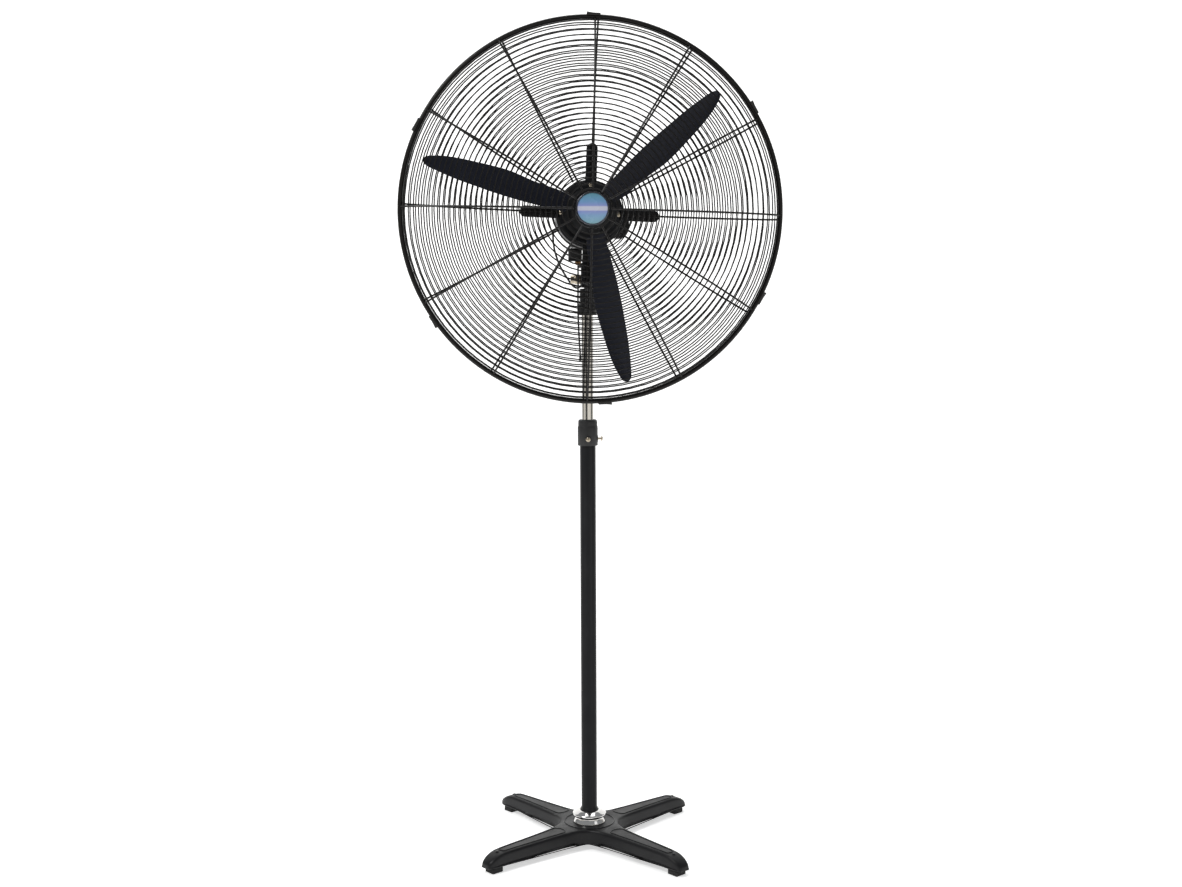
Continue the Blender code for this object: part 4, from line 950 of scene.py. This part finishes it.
class FAN_OT_cords(Operator):
    """Motor lead between head and neck, and the switch's pull cord with its end bead"""
    bl_idname = "fan.cords"
    bl_label = "Cords"

    def execute(self, context):
        shift = Vector((0, COLUMN, 0))
        lead = bmesh.new()
        path = [p + shift for p in smooth_route(LEAD_ROUTE, 2.5 * MM)]
        sweep(lead, path, 2.3 * MM, sides=12)
        piece = publish("motor_lead_sheath", lead, rubber(), None, "rubber_black", "motor_lead")
        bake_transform(piece)

        pull = [p + shift for p in smooth_route(PULL_ROUTE, 3 * MM)]
        curve = bpy.data.curves.new("pull_string", "CURVE")
        curve.dimensions = "3D"
        curve.bevel_depth = 2.1 * MM
        curve.bevel_resolution = 3
        curve.use_fill_caps = True
        spline = curve.splines.new("POLY")
        spline.points.add(len(pull) - 1)
        for knot, point in zip(spline.points, pull):
            knot.co = (*point, 1.0)
        curve.materials.append(abs_black())
        string = bpy.data.objects.new("pull_string", curve)
        context.collection.objects.link(string)
        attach(string, "pull")
        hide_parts("pull_cord")

        bead = bmesh.new()
        turn(bead, [(0, -0.0113), (0.0016, -0.0113), (0.0026, -0.0108), (0.0034, -0.0090),
                    (0.0034, -0.0050), (0.0030, -0.0022), (0.0023, -0.0006), (0, -0.0003)],
             tuple(pull[-1]), "Z", 24, closed=False)
        end = publish("pull_bead", bead, abs_black(), "pull", "plastic_black", "pull_cord_end")
        return {"FINISHED"}


# ---------------------------------------------------------------- stage
class FAN_OT_stage(Operator):
    """Pale floor that curves up behind the fan, surroundings, soft lights and the camera"""
    bl_idname = "fan.stage"
    bl_label = "Stage"

    def execute(self, context):
        scene = context.scene
        cove = bmesh.new()
        rows = []
        wall_foot, bend = 3.0, 1.5
        section = [(-6.0, 0.0), (wall_foot, 0.0)]
        section += [(wall_foot + bend * math.sin(a), bend - bend * math.cos(a))
                    for a in (math.pi / 2 * k / 12 for k in range(1, 13))]
        section.append((wall_foot + bend, 6.0))
        for x in (-8.0, 8.0):
            rows.append([cove.verts.new((x, y, z)) for y, z in section])
        for i in range(len(section) - 1):
            cove.faces.new((rows[0][i], rows[1][i], rows[1][i + 1], rows[0][i + 1]))
        mesh = bpy.data.meshes.new("studio_floor")
        cove.to_mesh(mesh)
        cove.free()
        mesh.shade_smooth()
        mesh.materials.append(self.paper())
        floor = bpy.data.objects.new("studio_floor", mesh)
        context.collection.objects.link(floor)

        scene.world = self.studio()

        for name, place, aim, size, power in (
                ("key", (-2.4, -1.8, 4.0), (0, 0, 1.2), 1.3, 90),
                ("fill", (2.8, -2.6, 1.8), (0, 0, 0.8), 1.4, 5),
                ("top", (0.2, 1.2, 4.4), (0, 0, 0.3), 2.2, 40)):
            light = bpy.data.lights.new(name, "AREA")
            light.size = size
            light.energy = power
            lamp = bpy.data.objects.new(name, light)
            lamp.location = place
            lamp.rotation_euler = (Vector(aim) - Vector(place)).to_track_quat("-Z", "Y").to_euler()
            context.collection.objects.link(lamp)

        camera_data = bpy.data.cameras.new("camera")
        camera_data.sensor_width = 36
        camera_data.lens = 44.35
        camera = bpy.data.objects.new("camera", camera_data)
        turn_right, look_down, roll = math.radians(2.25), math.radians(4.95), math.radians(-0.24)
        view = (Matrix.Rotation(-turn_right, 4, "Z") @ Matrix.Rotation(math.pi / 2 - look_down, 4, "X")
                @ Matrix.Rotation(roll, 4, "Z"))
        camera.matrix_world = Matrix.Translation((-0.126, COLUMN - 3.4, 1.25)) @ view
        context.collection.objects.link(camera)
        scene.camera = camera
        scene.view_settings.view_transform = "Standard"
        return {"FINISHED"}

    @staticmethod
    def paper():
        """Backdrop paper: matt near-white, lit through from behind."""
        made = surface("paper_matt", srgb("#f4f4f3"), 0.9, grain=1.5 * MM, bump=0.02, shade=0.0,
                       spread=0.02)
        shader = made.node_tree.nodes["Principled BSDF"]
        shader.inputs["Emission Color"].default_value = srgb("#ffffff")
        shader.inputs["Emission Strength"].default_value = 0.55
        return made

    @staticmethod
    def studio():
        """Surroundings: a dim room with bright and dark upright screens, which the chrome shows."""
        world = bpy.data.worlds.new("studio")
        world.use_nodes = True
        tree = world.node_tree
        way = add(tree, "ShaderNodeSeparateXYZ",
                  {"Vector": add(tree, "ShaderNodeTexCoord").outputs["Generated"]})
        back = add(tree, "ShaderNodeMath", {0: way.outputs["Y"], 1: -1.0}, operation="MULTIPLY")
        angle = add(tree, "ShaderNodeMath", {0: way.outputs["X"], 1: back.outputs[0]},
                    operation="ARCTAN2")
        turn_share = add(tree, "ShaderNodeMapRange", {"Value": angle.outputs[0],
                                                      "From Min": -math.pi, "From Max": math.pi})
        ramp = add(tree, "ShaderNodeValToRGB", {"Fac": turn_share.outputs["Result"]})
        # direction in degrees from the front, brightness
        screens = ((-150, 0.15), (-94, 0.10), (-84, 0.80), (-46, 0.75), (-36, 0.06), (-10, 0.06),
                   (2, 1.0), (60, 0.9), (68, 0.05), (82, 0.05), (94, 0.6))
        for number, (degrees, level) in enumerate(screens):
            place = (degrees + 180) / 360
            stop = (ramp.color_ramp.elements[number] if number < 2
                    else ramp.color_ramp.elements.new(place))
            stop.position = place
            stop.color = (level, 0.95 * level, 0.86 * level, 1.0)
        height = add(tree, "ShaderNodeMath", {0: way.outputs["Z"]}, operation="ABSOLUTE")
        band = add(tree, "ShaderNodeMapRange", {"Value": height.outputs[0], "From Min": 0.09,
                                                "From Max": 0.15, "To Min": 1.0, "To Max": 0.0})
        mix = add(tree, "ShaderNodeMix", {"Factor": band.outputs["Result"]}, data_type="RGBA")
        room, screen = [i for i in mix.inputs if i.identifier in ("A_Color", "B_Color")]
        room.default_value = srgb("#9a9c9e")
        tree.links.new(ramp.outputs["Color"], screen)
        mixed = [o for o in mix.outputs if o.type == "RGBA"][0]
        tree.links.new(mixed, tree.nodes["Background"].inputs["Color"])
        tree.nodes["Background"].inputs["Strength"].default_value = 0.9
        return world


# ---------------------------------------------------------------- panel and running
class FAN_PT_panel(Panel):
    """Lists the fan's pieces"""
    bl_idname = "FAN_PT_panel"
    bl_label = "Pedestal fan"
    bl_space_type = "VIEW_3D"
    bl_region_type = "UI"
    bl_category = "Fan"

    def draw(self, context):
        fan = context.scene.fan
        for name in ("ring_wire", "spoke_wire", "rim_wire", "front_rings", "rear_rings", "spokes",
                     "paint", "badge"):
            self.layout.prop(fan, name)
        for step in STEPS:
            self.layout.operator(step.bl_idname)


STEPS = (FAN_OT_stage, FAN_OT_cords, FAN_OT_guards, FAN_OT_badge, FAN_OT_clips, FAN_OT_blades,
         FAN_OT_hub, FAN_OT_motor, FAN_OT_neck, FAN_OT_column, FAN_OT_base)
CLASSES = (FanSettings, *STEPS, FAN_PT_panel)


def register():
    for kind in CLASSES:
        bpy.utils.register_class(kind)
    bpy.types.Scene.fan = PointerProperty(type=FanSettings)


def unregister():
    del bpy.types.Scene.fan
    for kind in reversed(CLASSES):
        bpy.utils.unregister_class(kind)


def main():
    """Build every piece in order."""
    register()
    for step in STEPS:
        group, name = step.bl_idname.split(".")
        getattr(getattr(bpy.ops, group), name)()


if __name__ == "__main__":
    main()
